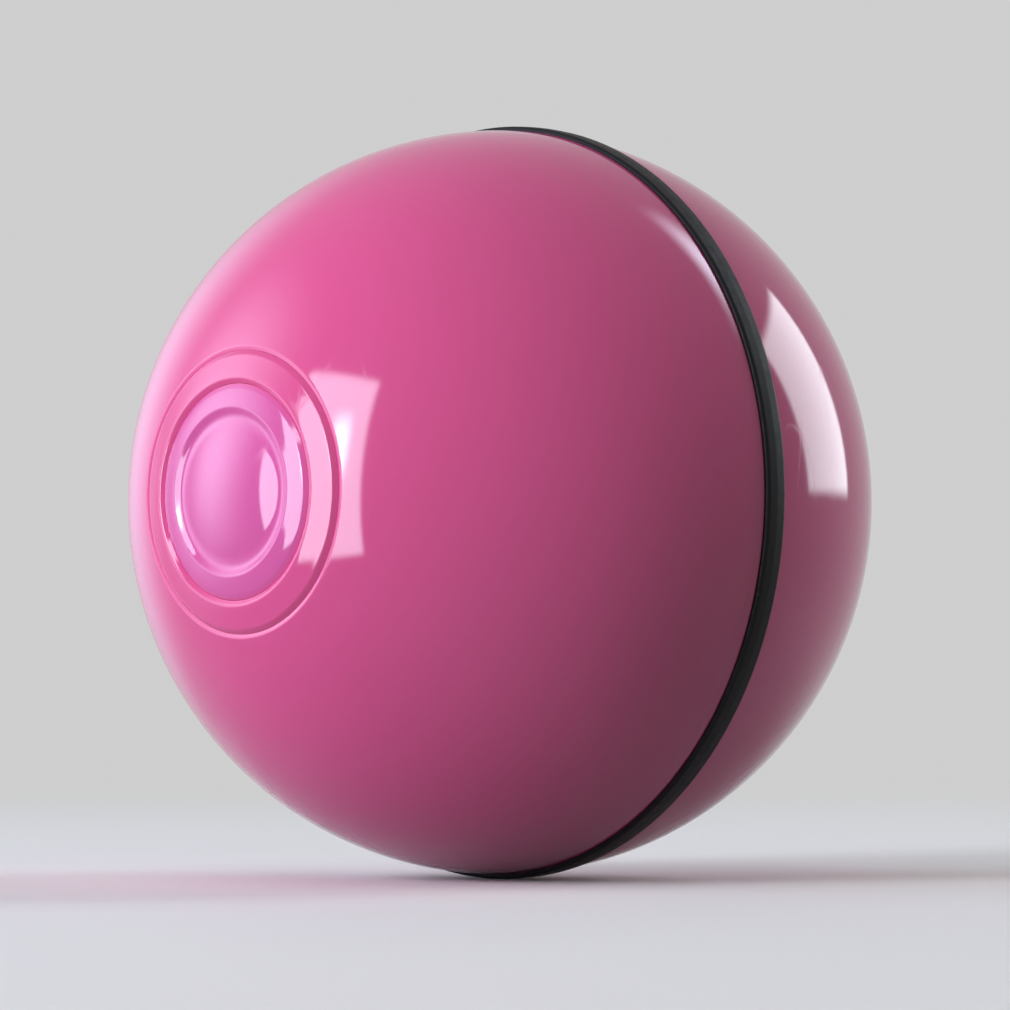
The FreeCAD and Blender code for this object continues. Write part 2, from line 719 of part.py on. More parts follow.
def carriage_lid():
    """Flat lid with the upper halves of the bearing saddles and the circuit board's posts."""
    outline = [vector(r, y, 0) for r, y in drum_profile(0, DRUM_END)[1:-1]]
    outline += [vector(-corner.x, corner.y, 0) for corner in reversed(outline)]
    plate = Part.Face(Part.makePolygon(outline + outline[:1])).extrude(UP * LID_THICK)
    end_face = DRUM_END - END_WALL
    saddles = [
        block(-SADDLE_HALF, SADDLE_HALF, -DRUM_END, -end_face, 0, SADDLE_TOP),
        block(-SADDLE_HALF, SADDLE_HALF, end_face, DRUM_END, 0, SADDLE_TOP),
    ]
    posts = [prism_z(x, y, BOARD_POST_R, 0, BOARD_Z, POST_SIDES) for x, y in BOARD_POSTS]
    holes = [prism_z(x, y, SCREW_HOLE_R, 0, LID_THICK, SCREW_SIDES) for x, y in lid_screw_places()]
    for x, y in BOARD_POSTS:
        holes.append(prism_z(x, y, SMALL_PILOT_R, BOARD_PILOT_FOOT, BOARD_Z, SCREW_SIDES))
    holes += [block(*area, 0, LID_THICK) for area in (LID_OPENING, MOTOR_LEAD_SLOT, CELL_LEAD_SLOT)]
    holes.append(bar_y(0, 0, BUSH_R + SEAT_PLAY, -DRUM_END, -end_face))
    holes.append(bar_y(0, 0, PIN_R + SEAT_PLAY, end_face, DRUM_END))
    holes.append(block(-COLLAR_ROOM, COLLAR_ROOM, PIN_Y[0] - PIN_ROOM, end_face, 0, LID_THICK))
    return fused([plate] + saddles + posts).cut(group(holes))


def left_bush():
    """Flanged bush between the carriage's halves, running on the journal."""
    steps = [
        (BUSH_BORE_R, BUSH_Y[0] - BUSH_FLANGE),
        (BUSH_FLANGE_R, BUSH_Y[0] - BUSH_FLANGE),
        (BUSH_FLANGE_R, BUSH_Y[0]),
        (BUSH_R, BUSH_Y[0]),
        (BUSH_R, BUSH_Y[1]),
        (BUSH_BORE_R, BUSH_Y[1]),
    ]
    return turned(steps)


def pivot_pin():
    steps = [
        (0, PIN_Y[0]),
        (PIN_R, PIN_Y[0]),
        (PIN_R, PIN_COLLAR_Y[0]),
        (PIN_COLLAR_R, PIN_COLLAR_Y[0]),
        (PIN_COLLAR_R, PIN_COLLAR_Y[1]),
        (PIN_R, PIN_COLLAR_Y[1]),
        (PIN_R, PIN_Y[1]),
        (0, PIN_Y[1]),
    ]
    return turned(steps)


def right_bush():
    steps = [
        (END_BUSH_BORE_R, END_BUSH_Y[0] - END_BUSH_FLANGE),
        (END_BUSH_FLANGE_R, END_BUSH_Y[0] - END_BUSH_FLANGE),
        (END_BUSH_FLANGE_R, END_BUSH_Y[0]),
        (END_BUSH_R, END_BUSH_Y[0]),
        (END_BUSH_R, END_BUSH_Y[1]),
        (END_BUSH_BORE_R, END_BUSH_Y[1]),
    ]
    return turned(steps)


def gear_plate():
    """Inner wall of the gear train, which also carries the motor."""
    plate = prism_y(0, 0, PLATE_R, *PLATE_Y, 2 * DRUM_STAVES)
    notch_half, notch_foot = PLATE_NOTCH
    holes = [
        block(-PLATE_R, PLATE_R, *PLATE_Y, PLATE_TOP, PLATE_R),
        block(-notch_half, notch_half, *PLATE_Y, notch_foot, PLATE_TOP),
        bar_y(*OUTPUT_AT, OUTPUT_SHAFT_R + RUNNING_PLAY, *PLATE_Y),
        bar_y(*FIRST_AT, GEAR_PIN_R + SEAT_PLAY, *PLATE_Y),
        bar_y(*MOTOR_AT, CAN_BOSS_R + SEAT_PLAY, *PLATE_Y),
    ]
    holes += mirrored(prism_y, *PLATE_POST_AT, SCREW_HOLE_R, *PLATE_Y, SCREW_SIDES)
    for x, z in motor_screw_places():
        holes.append(prism_y(x, z, SMALL_PILOT_R, *PLATE_Y, SCREW_SIDES))
        holes.append(prism_y(x, z, SMALL_HEAD_HOLE_R, PLATE_Y[0], PLATE_Y[0] + SMALL_HEAD, POST_SIDES))
    return plate.cut(group(holes))


def motor_screw_places():
    x, z = MOTOR_AT
    return [(x + side * MOTOR_SCREW_SPACING / 2, z) for side in (-1, 1)]


def drum_bar(centre, r, flat, y_low, y_high):
    """Round bar with two flats, the motor's section."""
    x, z = centre
    return bar_y(x, z, r, y_low, y_high).common(block(x - r, x + r, y_low, y_high, z - flat, z + flat))


def motor_can():
    """Pressed steel can with two flats, a bearing boss and an open back."""
    low, high = CAN_Y
    boss = bar_y(*MOTOR_AT, CAN_BOSS_R, low - CAN_BOSS, low)
    can = fused([drum_bar(MOTOR_AT, CAN_R, CAN_FLAT, low, high), boss])
    hollow = drum_bar(MOTOR_AT, CAN_R - CAN_WALL, CAN_FLAT - CAN_WALL, low + CAN_WALL, high)
    holes = [hollow, bar_y(*MOTOR_AT, MOTOR_SHAFT_R + RUNNING_PLAY, low - CAN_BOSS, low + CAN_WALL)]
    for x, z in motor_screw_places():
        holes.append(prism_y(x, z, SMALL_PILOT_R, low, low + CAN_WALL, SCREW_SIDES))
    return can.cut(group(holes))


def motor_end_cap():
    """Plastic back of the motor, plugged into the can, with the rear bearing."""
    back = CAN_Y[1]
    inset = CAN_WALL + SEAT_PLAY
    cap = drum_bar(MOTOR_AT, CAN_R, CAN_FLAT, back, back + END_CAP_THICK)
    plug = drum_bar(MOTOR_AT, CAN_R - inset, CAN_FLAT - inset, back - END_CAP_PLUG, back)
    bearing = bar_y(*MOTOR_AT, MOTOR_SHAFT_R + RUNNING_PLAY, back - END_CAP_PLUG, back + END_CAP_THICK)
    return fused([cap, plug]).cut(bearing)


def motor_magnets():
    """Two curved magnets on the sides of the can."""
    x, z = MOTOR_AT
    tube = tube_y(x, z, CAN_R - CAN_WALL - SEAT_PLAY, MAGNET_IN_R, *MAGNET_Y)
    left = block(x - CAN_R, x, *MAGNET_Y, z - MAGNET_HALF, z + MAGNET_HALF)
    right = block(x, x + CAN_R, *MAGNET_Y, z - MAGNET_HALF, z + MAGNET_HALF)
    return group([tube.common(left), tube.common(right)])


def motor_armature():
    """Laminated rotor of three poles, with the commutator behind it."""
    x, z = MOTOR_AT
    core = bar_y(x, z, ARMATURE_R, *ARMATURE_Y)
    slots = []
    for i in range(POLE_COUNT):
        angle = math.radians(90 + i * 360 / POLE_COUNT)
        middle = (x + POLE_SLOT_AT * math.cos(angle), z + POLE_SLOT_AT * math.sin(angle))
        slots.append(bar_y(*middle, POLE_SLOT_R, *ARMATURE_Y))
    core = core.cut(group(slots))
    commutator = bar_y(x, z, COMMUTATOR_R, ARMATURE_Y[1], COMMUTATOR_END)
    return fused([core, commutator]).cut(bar_y(x, z, MOTOR_SHAFT_R, ARMATURE_Y[0], CAN_Y[1]))


def motor_shaft():
    return bar_y(*MOTOR_AT, MOTOR_SHAFT_R, *MOTOR_SHAFT_Y)


def battery_tray():
    """Thin tray that clamps the weight and carries the cell and the motor's back."""
    half_x, half_y = TRAY_HALF
    tab_x, tab_y = TRAY_TAB_AT
    plate = block(-half_x, half_x, -half_y, half_y, *TRAY_Z)
    reach = TRAY_TAB_HALF
    tabs = [block(x - reach, x + reach, half_y, tab_y + reach, *TRAY_Z) for x in (-tab_x, tab_x)]
    rib_from = CELL_X + CELL[0] + CELL_PLAY
    rib_thick, rib_half, rib_height = TRAY_RIB
    rib_top = TRAY_Z[1] + rib_height
    rib = block(rib_from, rib_from + rib_thick, -rib_half, rib_half, TRAY_Z[1], rib_top)
    tray = fused([plate, rib] + tabs)
    return tray.cut(group(mirrored(prism_z, tab_x, tab_y, SCREW_HOLE_R, *TRAY_Z, SCREW_SIDES)))


def counterweight():
    """Steel weight in the bottom of the tub."""
    low = block(-DRUM_R, DRUM_R, -WEIGHT_HALF, WEIGHT_HALF, -DRUM_R, WEIGHT_TOP)
    return staved_drum(DRUM_WALL + WEIGHT_PLAY, DRUM_END).common(low)


def battery_pad():
    """Foam pad under the cell."""
    low = TRAY_Z[1]
    half = CELL[1] / 2 - PAD_INSET
    return block(CELL_X + PAD_INSET, CELL_X + CELL[0] - PAD_INSET, -half, half, low, low + PAD_THICK)


def battery():
    """Pouch cell with bevelled long edges."""
    low = TRAY_Z[1] + PAD_THICK
    cell = block(CELL_X, CELL_X + CELL[0], -CELL[1] / 2, CELL[1] / 2, low, low + CELL[2])
    long_edges = [e for e in cell.Edges if abs(e.tangentAt(e.FirstParameter).y) > 0.9]
    return cell.makeChamfer(CELL_EDGE, long_edges)


def main_board():
    board = block(-BOARD_HALF, BOARD_HALF, *BOARD_Y, BOARD_Z, BOARD_Z + BOARD_THICK)
    top = BOARD_Z + BOARD_THICK
    holes = [prism_z(x, y, SMALL_PILOT_R, BOARD_Z, top, SCREW_SIDES) for x, y in BOARD_POSTS]
    return board.cut(group(holes))


def component(place, size):
    """Part of a given size, middle up on the circuit board."""
    (x, y), (length, width, height) = place, size
    top = BOARD_Z + BOARD_THICK
    return block(x - length / 2, x + length / 2, y - width / 2, y + width / 2, top, top + height)


def board_components():
    """Controller, charger, driver, coil and small parts, each standing on the board."""
    parts = [component(CONTROLLER_AT, CONTROLLER), component(CHARGER_AT, CHARGER)]
    parts += [component(DRIVER_AT, DRIVER), component(COIL_AT, COIL)]
    return group(parts + [component(place, SMALL_PART) for place in SMALL_PARTS_AT])


def charge_light():
    """Small lamp beside the charging socket, with a narrower lens on its base."""
    x, y = LIGHT_AT
    top = BOARD_Z + BOARD_THICK
    half_x, half_y = LIGHT_HALF
    base = block(x - half_x, x + half_x, y - half_y, y + half_y, top, top + LIGHT_BASE)
    lens_x = half_x - LIGHT_SHOULDER
    lens = block(x - lens_x, x + lens_x, y - half_y, y + half_y, top + LIGHT_BASE, top + LIGHT_TOP)
    return fused([base, lens])


def vibration_sensor():
    return bar_y(SENSOR_X, BOARD_Z + BOARD_THICK + SENSOR_R, SENSOR_R, *SENSOR_Y)


def usb_outline(width, height, y_low, y_high, middle):
    """Bar with the socket's stadium section along the axle."""
    r = height / 2
    ends = [bar_y(i * (width / 2 - r), middle, r, y_low, y_high) for i in (-1, 1)]
    return fused([block(-width / 2 + r, width / 2 - r, y_low, y_high, middle - r, middle + r)] + ends)


def usb_port():
    """Metal shell of the charging socket, open towards the right pole."""
    middle = BOARD_Z + BOARD_THICK + USB_HEIGHT / 2
    outside = usb_outline(USB_WIDTH, USB_HEIGHT, *USB_Y, middle)
    inner_width, inner_height = USB_WIDTH - 2 * USB_WALL, USB_HEIGHT - 2 * USB_WALL
    return outside.cut(usb_outline(inner_width, inner_height, USB_Y[0] + USB_BACK, USB_Y[1], middle))


def usb_tongue():
    middle = BOARD_Z + BOARD_THICK + USB_HEIGHT / 2
    half_width, half_height = USB_TONGUE[0] / 2, USB_TONGUE[1] / 2
    low, high = USB_Y[0] + USB_BACK, USB_Y[1] - USB_TONGUE_SHORT
    return block(-half_width, half_width, low, high, middle - half_height, middle + half_height)


def switch_board():
    half = SWITCH_BOARD_HALF
    return block(-half, half, *SWITCH_BOARD_Y, SWITCH_BOARD_FOOT, BOARD_Z)


def switch_body():
    body = block(-SWITCH_HALF, SWITCH_HALF, *SWITCH_BODY_Y, -SWITCH_HALF, SWITCH_HALF)
    return body.cut(bar_y(0, 0, PLUNGER_R + RUNNING_PLAY, SWITCH_BODY_Y[0], SWITCH_FLOOR))


def switch_plunger():
    return bar_y(0, 0, PLUNGER_R, -SWITCH_TIP, SWITCH_FLOOR - BUTTON_TRAVEL - SEAT_PLAY)


def round_corner(start, corner, end):
    """Arc from start to end whose tangents meet in the corner."""
    chord_middle = (start + end) * 0.5
    inward = chord_middle - corner
    reach = (start - corner).Length
    radius = reach * (start - chord_middle).Length / inward.Length
    depth = math.sqrt(radius * radius + reach * reach) - radius
    return Part.Arc(start, corner + inward.normalize() * depth, end).toShape()


def lead(x, y_from, y_turn, z_low, z_high):
    """Insulated wire that leaves along the axle, turns up and ends under the circuit board."""
    corner = vector(x, y_turn, z_low)
    start, end = vector(x, y_from, z_low), vector(x, y_turn, z_high)
    into = corner - AXLE * LEAD_BEND_R
    out = corner + UP * LEAD_BEND_R
    edges = [Part.makeLine(start, into), round_corner(into, corner, out), Part.makeLine(out, end)]
    section = ring(start, RIGHT, UP, LEAD_R, WIRE_SIDES)
    wire = Part.Wire(edges).makePipeShell([section], True, False)
    length = sum(edge.Length for edge in edges)
    share = wire.Volume / (Part.Face(section).Area * length)
    print(f"lead: bend radius {LEAD_BEND_R} mm, volume {share:.3f} of its section times its length")
    return wire


def motor_wires():
    back = CAN_Y[1] + END_CAP_THICK
    return group([lead(x, back, MOTOR_LEAD_TURN, MOTOR_AT[1], BOARD_Z) for x in MOTOR_LEAD_X])


def battery_wires():
    head = CELL[1] / 2
    height = TRAY_Z[1] + PAD_THICK + CELL[2] / 2
    return group([lead(x, head, CELL_LEAD_TURN, height, BOARD_Z) for x in CELL_LEAD_X])


# Fasteners

def screw(base, way, length, shank_r, head_r, head_height):
    """Pan-headed screw whose head's underside sits at base, with the shank running along way."""
    across, along = (RIGHT, UP) if abs(way.y) > abs(way.z) else (RIGHT, AXLE)
    shank = Part.Face(ring(base, across, along, shank_r, SCREW_SIDES)).extrude(way * length)
    head = Part.Face(ring(base, across, along, head_r, POST_SIDES)).extrude(way * -head_height)
    return fused([head, shank])


def hub_screws():
    length = HUB_SCREW_END + HUB_HEAD_SEAT - SEAT_PLAY
    places = [vector(x, HUB_HEAD_SEAT, z) for x, z in hub_screw_places()]
    return group([screw(place, -AXLE, length, SCREW_R, HEAD_R, HEAD_HEIGHT) for place in places])


def lid_screws():
    places = [vector(x, y, LID_THICK) for x, y in lid_screw_places()]
    length = LID_THICK - LID_PILOT_FOOT - SEAT_PLAY
    return group([screw(place, -UP, length, SCREW_R, HEAD_R, HEAD_HEIGHT) for place in places])


def gearbox_screws():
    x, z = PLATE_POST_AT
    length = PLATE_Y[1] - PLATE_PILOT_END - SEAT_PLAY
    places = [vector(side * x, PLATE_Y[1], z) for side in (-1, 1)]
    return group([screw(place, -AXLE, length, SCREW_R, HEAD_R, HEAD_HEIGHT) for place in places])


def tray_screws():
    x, y = TRAY_TAB_AT
    length = TRAY_Z[1] - TAB_PILOT_FOOT - SEAT_PLAY
    places = [vector(side * x, y, TRAY_Z[1]) for side in (-1, 1)]
    return group([screw(place, -UP, length, SCREW_R, HEAD_R, HEAD_HEIGHT) for place in places])


def board_screws():
    top = BOARD_Z + BOARD_THICK
    length = top - BOARD_PILOT_FOOT - SEAT_PLAY
    sizes = (length, SMALL_SCREW_R, SMALL_HEAD_R, SMALL_HEAD)
    return group([screw(vector(x, y, top), -UP, *sizes) for x, y in BOARD_POSTS])


def motor_screws():
    seat = PLATE_Y[0] + SMALL_HEAD
    length = PLATE_Y[1] + CAN_WALL - seat
    sizes = (length, SMALL_SCREW_R, SMALL_HEAD_R, SMALL_HEAD)
    return group([screw(vector(x, seat, z), AXLE, *sizes) for x, z in motor_screw_places()])


NODES = (
    left_shell, right_shell, tread_band, seal_ring, pole_bezel, button_cap, right_pole_cap, push_rod,
    button_spring, hub_gear, hub_clip, hub_screws, left_bush, pivot_pin, right_bush, carriage_tub,
    carriage_lid, lid_screws, gear_plate, gearbox_screws, gear_pin, first_gear, output_wheel,
    output_shaft, drive_pinion, motor_pinion, motor_can, motor_end_cap, motor_magnets, motor_armature,
    motor_shaft, motor_screws, battery_tray, tray_screws, counterweight, battery_pad, battery,
    main_board, board_screws, board_components, charge_light, vibration_sensor, usb_port, usb_tongue,
    switch_board, switch_body, switch_plunger, motor_wires, battery_wires,
)

os.makedirs("parts", exist_ok=True)
for build in NODES:
    save(build.__name__, build())
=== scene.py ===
"""Looks of the self-rolling cat ball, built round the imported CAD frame.

Sizes are in millimetres in the classes and become metres where a mesh is made. The ball's middle is
the origin, +Y is the rolling axle from the button's pole to the fixed pole, and +Z is up.
"""

import json
import logging
import math
from dataclasses import dataclass
from enum import Enum
from typing import Callable, Optional, Sequence, Union

import bpy
import numpy as np
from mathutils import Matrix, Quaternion, Vector
from mathutils.geometry import delaunay_2d_cdt

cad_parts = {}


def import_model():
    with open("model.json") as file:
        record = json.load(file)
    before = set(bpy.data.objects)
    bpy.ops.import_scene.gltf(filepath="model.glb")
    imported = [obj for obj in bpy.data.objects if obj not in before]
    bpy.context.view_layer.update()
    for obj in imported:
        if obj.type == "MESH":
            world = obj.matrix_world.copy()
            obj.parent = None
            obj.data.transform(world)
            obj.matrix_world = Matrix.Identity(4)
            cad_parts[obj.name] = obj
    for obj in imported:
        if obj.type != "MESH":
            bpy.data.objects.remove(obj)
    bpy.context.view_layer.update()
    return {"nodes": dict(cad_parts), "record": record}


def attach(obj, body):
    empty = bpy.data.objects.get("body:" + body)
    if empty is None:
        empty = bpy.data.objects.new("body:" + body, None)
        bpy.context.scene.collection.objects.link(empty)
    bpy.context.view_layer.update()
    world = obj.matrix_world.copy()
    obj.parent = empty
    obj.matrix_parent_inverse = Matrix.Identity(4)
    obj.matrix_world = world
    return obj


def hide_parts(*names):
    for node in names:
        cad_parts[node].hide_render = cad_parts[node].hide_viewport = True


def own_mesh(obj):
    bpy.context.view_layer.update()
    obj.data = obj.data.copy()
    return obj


LOG = logging.getLogger("cat_ball")
MM = 0.001
Array = np.ndarray
Colour = tuple[float, float, float]
Place = tuple[float, float]
Span = tuple[float, float]
Corner = tuple[float, float, float]
Point = Sequence[float]
Node = bpy.types.Node
Socket = bpy.types.NodeSocket
Sockets = bpy.types.bpy_prop_collection
Value = Union[float, Sequence[float], Socket]
Inputs = dict[Union[str, int], Value]
SHARP_EDGE_DEG = 32.0
SIDES = (-1, 1)


# Outlines

def unit(vectors: Array) -> Array:
    """Vectors of length one, along the last axis."""
    return vectors / np.maximum(np.linalg.norm(vectors, axis=-1, keepdims=True), 1e-12)


def rounded(corners: Sequence[Corner], closed: bool, steps: int = 6) -> Array:
    """Outline whose corners are arcs tangent to both sides.

    With h half the angle at a corner, the arc of radius q touches the sides q / tan(h) from the
    corner and has its centre q / sin(h) from it on the bisector. Its points are even slerps between
    the two touching points. One more point on each side keeps the shading of the flats clean.

    Args:
        corners: (u, v, q) of each corner, with q the radius of its arc.
        closed: True if the last corner joins the first.
        steps: spans in each arc.

    Returns:
        The outline as an (n, 2) array without doubled points.
    """
    given = np.array(corners, float)
    here, want = given[:, :2], given[:, 2].copy()
    before, after = np.roll(here, 1, axis=0), np.roll(here, -1, axis=0)
    if not closed:
        want[[0, -1]] = 0.0
        before[0], after[-1] = 2 * here[0] - here[1], 2 * here[-1] - here[-2]
    back, ahead = unit(before - here), unit(after - here)
    half = np.arccos(np.clip((back * ahead).sum(1), -0.999999, 0.999999)) / 2
    room = 0.45 * np.minimum(np.linalg.norm(before - here, axis=1), np.linalg.norm(after - here, axis=1))
    reach = np.minimum(want / np.tan(half), room)
    radius = (reach * np.tan(half))[:, None]
    centre = here + unit(back + ahead) * radius / np.sin(half)[:, None]
    first, last = here + back * reach[:, None], here + ahead * reach[:, None]
    sweep = (math.pi - 2 * half)[:, None]
    share = np.linspace(0, 1, steps + 1)[None, :]
    weight_a = (np.sin((1 - share) * sweep) / np.sin(sweep))[..., None]
    weight_b = (np.sin(share * sweep) / np.sin(sweep))[..., None]
    arc = centre[:, None] + weight_a * (first - centre)[:, None] + weight_b * (last - centre)[:, None]
    guard = np.minimum(0.25 * radius, 0.2 * room[:, None])
    rows = np.concatenate([(first + back * guard)[:, None], arc, (last + ahead * guard)[:, None]], axis=1)
    plain = (want < 1e-9)[:, None, None]
    rows = np.where(plain, here[:, None], rows).reshape(-1, 2)
    follow = np.roll(rows, -1, axis=0)
    keep = np.linalg.norm(follow - rows, axis=1) > 1e-6
    if not closed:
        keep[-1] = True
    return rows[keep]


def sphere_arc(radius: float, r_from: float, r_to: float, side: int, points: int) -> list[Corner]:
    """Outline corners along a sphere, evenly turned: r = R cos(a), y = side R sin(a)."""
    angles = np.linspace(math.acos(r_from / radius), math.acos(r_to / radius), points)
    return [(radius * math.cos(a), side * radius * math.sin(a), 0.0) for a in angles]


def circle(radius: float, sides: int, centre: Place = (0.0, 0.0)) -> Array:
    """Round outline: (r cos(t), r sin(t)) from its centre."""
    t = np.linspace(0, 2 * math.pi, sides, endpoint=False)
    return radius * np.stack([np.cos(t), np.sin(t)], -1) + np.array(centre)


def box_outline(u: Span, v: Span, corner: float, steps: int = 4) -> Array:
    """Rectangle with round corners, from its spans along both axes."""
    corners = [(u[0], v[0], corner), (u[1], v[0], corner), (u[1], v[1], corner), (u[0], v[1], corner)]
    return rounded(corners, True, steps)


def mirrored(corners: Sequence[Corner]) -> list[Corner]:
    """The same corners on the other side of x = 0, in the order that carries an outline on."""
    return [(-x, y, q) for x, y, q in corners[::-1]]


def inset(outline: Array, by: float) -> Array:
    """Closed outline moved to its left: p + by (m + n) / (1 + m n), with m and n its sides' normals.

    Args:
        outline: (n, 2) points.
        by: how far each side moves.

    Returns:
        As many points, moved.
    """
    side = unit(np.roll(outline, -1, axis=0) - outline)
    after = np.stack([-side[:, 1], side[:, 0]], -1)
    before = np.roll(after, 1, axis=0)
    return outline + by * (after + before) / np.maximum(1 + (after * before).sum(1, keepdims=True), 0.4)


# Surfaces

@dataclass
class Surface:
    """Points and faces of a mesh, in millimetres, with an optional value on each point.

    The faces stand in groups, each an array with one row of point numbers per face.
    """

    points: Array
    groups: list[Array]
    mask: Optional[Array] = None

    def outward(self) -> "Surface":
        """Turns the faces so that the signed volume is positive.

        Returns:
            The same surface.
        """
        p = self.points
        volume = sum((p[f[:, :1]] * np.cross(p[f[:, 1:-1]], p[f[:, 2:]])).sum() for f in self.groups)
        if volume < 0:
            self.groups = [faces[:, ::-1] for faces in self.groups]
        return self

    def placed(self, origin: Point, way: Point = (0, 1, 0)) -> "Surface":
        """A copy moved and turned.

        Formula: (x, y, z) goes to origin + x X + y Y + z Z, where Y is the way, X the world's X made
        square to it and Z = X x Y.

        Args:
            origin: where the surface's own origin goes.
            way: where its own +Y points.

        Returns:
            The copy, which shares the faces and the mask.
        """
        y_axis = np.array(way, float)
        x_axis = np.array([1.0, 0.0, 0.0])
        x_axis = unit(x_axis - (x_axis @ y_axis) * y_axis)
        axes = np.stack([x_axis, y_axis, np.cross(x_axis, y_axis)])
        return Surface(self.points @ axes + np.array(origin, float), self.groups, self.mask)

    def marked(self, value: float) -> "Surface":
        """The same surface with one value on all of its points."""
        self.mask = np.full(len(self.points), value)
        return self


def joined(surfaces: Sequence[Surface]) -> Surface:
    """Several surfaces as one mesh.

    Args:
        surfaces: the surfaces; one without a mask gets 0 on its points.

    Returns:
        One surface with all their points and faces.
    """
    starts = np.cumsum([0] + [len(s.points) for s in surfaces[:-1]])
    masks = [s.mask if s.mask is not None else np.zeros(len(s.points)) for s in surfaces]
    groups = [faces + start for s, start in zip(surfaces, starts) for faces in s.groups]
    return Surface(np.concatenate([s.points for s in surfaces]), groups, np.concatenate(masks))


def grid_faces(rows: int, columns: int, wrap_rows: bool, wrap_columns: bool) -> Array:
    """Quads of a grid of points numbered row by row.

    Args:
        rows: rows of points.
        columns: points in a row.
        wrap_rows: True if the last row joins the first.
        wrap_columns: True if a row's last point joins its first.

    Returns:
        Point numbers, four to a face.
    """
    i = np.arange(rows if wrap_rows else rows - 1)
    j = np.arange(columns if wrap_columns else columns - 1)
    i, j = np.meshgrid(i, j, indexing="ij")
    here, next_row, next_j = i * columns, (i + 1) % rows * columns, (j + 1) % columns
    return np.stack([here + j, next_row + j, next_row + next_j, here + next_j], -1).reshape(-1, 4)


def lofted(rows: Array, looped: bool = False) -> Surface:
    """Surface through closed outlines, with flat faces on the first and the last.

    Args:
        rows: (m, n, 3) points, each row a closed outline.
        looped: True if the last row joins the first and there are no end faces.

    Returns:
        A closed surface.
    """
    m, n = rows.shape[:2]
    number = np.arange(n)[None, :]
    ends = [] if looped else [number, ((m - 1) * n + number)[:, ::-1]]
    return Surface(rows.reshape(-1, 3), [grid_faces(m, n, looped, True)] + ends).outward()


def turned(outline: Array, columns: int, closed: bool, about: Place = (0.0, 0.0)) -> Surface:
    """Outline (r, y) turned about a line along the axle: x = a + r cos(t), z = b + r sin(t).

    Args:
        outline: (n, 2) points. An open one starts and ends with r = 0, and each end is one point.
        columns: steps round the line.
        closed: True if the outline is a loop clear of the line.
        about: (a, b), the line's x and z.

    Returns:
        A closed surface.
    """
    t = np.linspace(0, 2 * math.pi, columns, endpoint=False)
    r, y = outline[:, :1], outline[:, 1:]
    points = np.stack([about[0] + r * np.cos(t), y + 0 * t, about[1] + r * np.sin(t)], -1).reshape(-1, 3)
    quads = grid_faces(len(outline), columns, closed, True)
    if closed:
        return Surface(points, [quads]).outward()
    fans = np.concatenate([quads[:columns][:, [0, 1, 2]], quads[-columns:][:, [0, 1, 3]]])
    last = (len(outline) - 1) * columns
    fans = np.where(fans < columns, 0, np.where(fans >= last, last, fans))
    quads = quads[columns:-columns]
    used = np.unique(np.concatenate([quads.ravel(), fans.ravel()]))
    number = np.zeros(len(points), int)
    number[used] = np.arange(len(used))
    return Surface(points[used], [number[quads], number[fans]]).outward()


def solid_turned(corners: Sequence[Corner], columns: int, closed: bool, about: Place = (0.0, 0.0)) -> Surface:
    """Rounded outline turned about a line along the axle."""
    return turned(rounded(corners, closed), columns, closed, about)


def rod(radius: float, span: Span, edge: float, about: Place = (0.0, 0.0), columns: int = 32) -> Surface:
    """Round bar along the axle with rounded ends."""
    corners = [(0, span[0], 0), (radius, span[0], edge), (radius, span[1], edge), (0, span[1], 0)]
    return solid_turned(corners, columns, False, about)


def arched(outline: Array, start: float, sweep: float, columns: int, about: Place = (0.0, 0.0)) -> Surface:
    """Closed outline (r, y) carried round part of a circle about a line along the axle.

    Formula: x = a + r cos(t), z = b + r sin(t), with t from start to start + sweep, and a flat face
    on each end.

    Args:
        outline: (n, 2) points of a closed loop.
        start: first angle in degrees, from +X towards +Z.
        sweep: angle covered in degrees.
        columns: points along the arc.
        about: (a, b), the line's x and z.

    Returns:
        A closed surface.
    """
    t = np.radians(np.linspace(start, start + sweep, columns))
    r, y = outline[:, :1], outline[:, 1:]
    points = np.stack([about[0] + r * np.cos(t), y + 0 * t, about[1] + r * np.sin(t)], -1).reshape(-1, 3)
    number = (np.arange(len(outline)) * columns)[None, :]
    ends = [number[:, ::-1], number + columns - 1]
    return Surface(points, [grid_faces(len(outline), columns, True, False)] + ends).outward()


def swept(path: Array, across: Array, section: Array) -> Surface:
    """Closed section carried along an open path, with flat ends.

    Formula: at each path point the section's (u, v) goes to path + u N + v B, with T the path's
    direction, N the across vector made square to T, and B = T x N.

    Args:
        path: (m, 3) points.
        across: one vector, or one for each path point.
        section: (n, 2) points of the closed section.

    Returns:
        A closed surface.
    """
    tangent = unit(np.gradient(path, axis=0))
    across = np.broadcast_to(across, path.shape)
    normal = unit(across - (across * tangent).sum(1, keepdims=True) * tangent)
    binormal = np.cross(tangent, normal)
    u, v = section[None, :, :1], section[None, :, 1:]
    return lofted(path[:, None] + u * normal[:, None] + v * binormal[:, None])


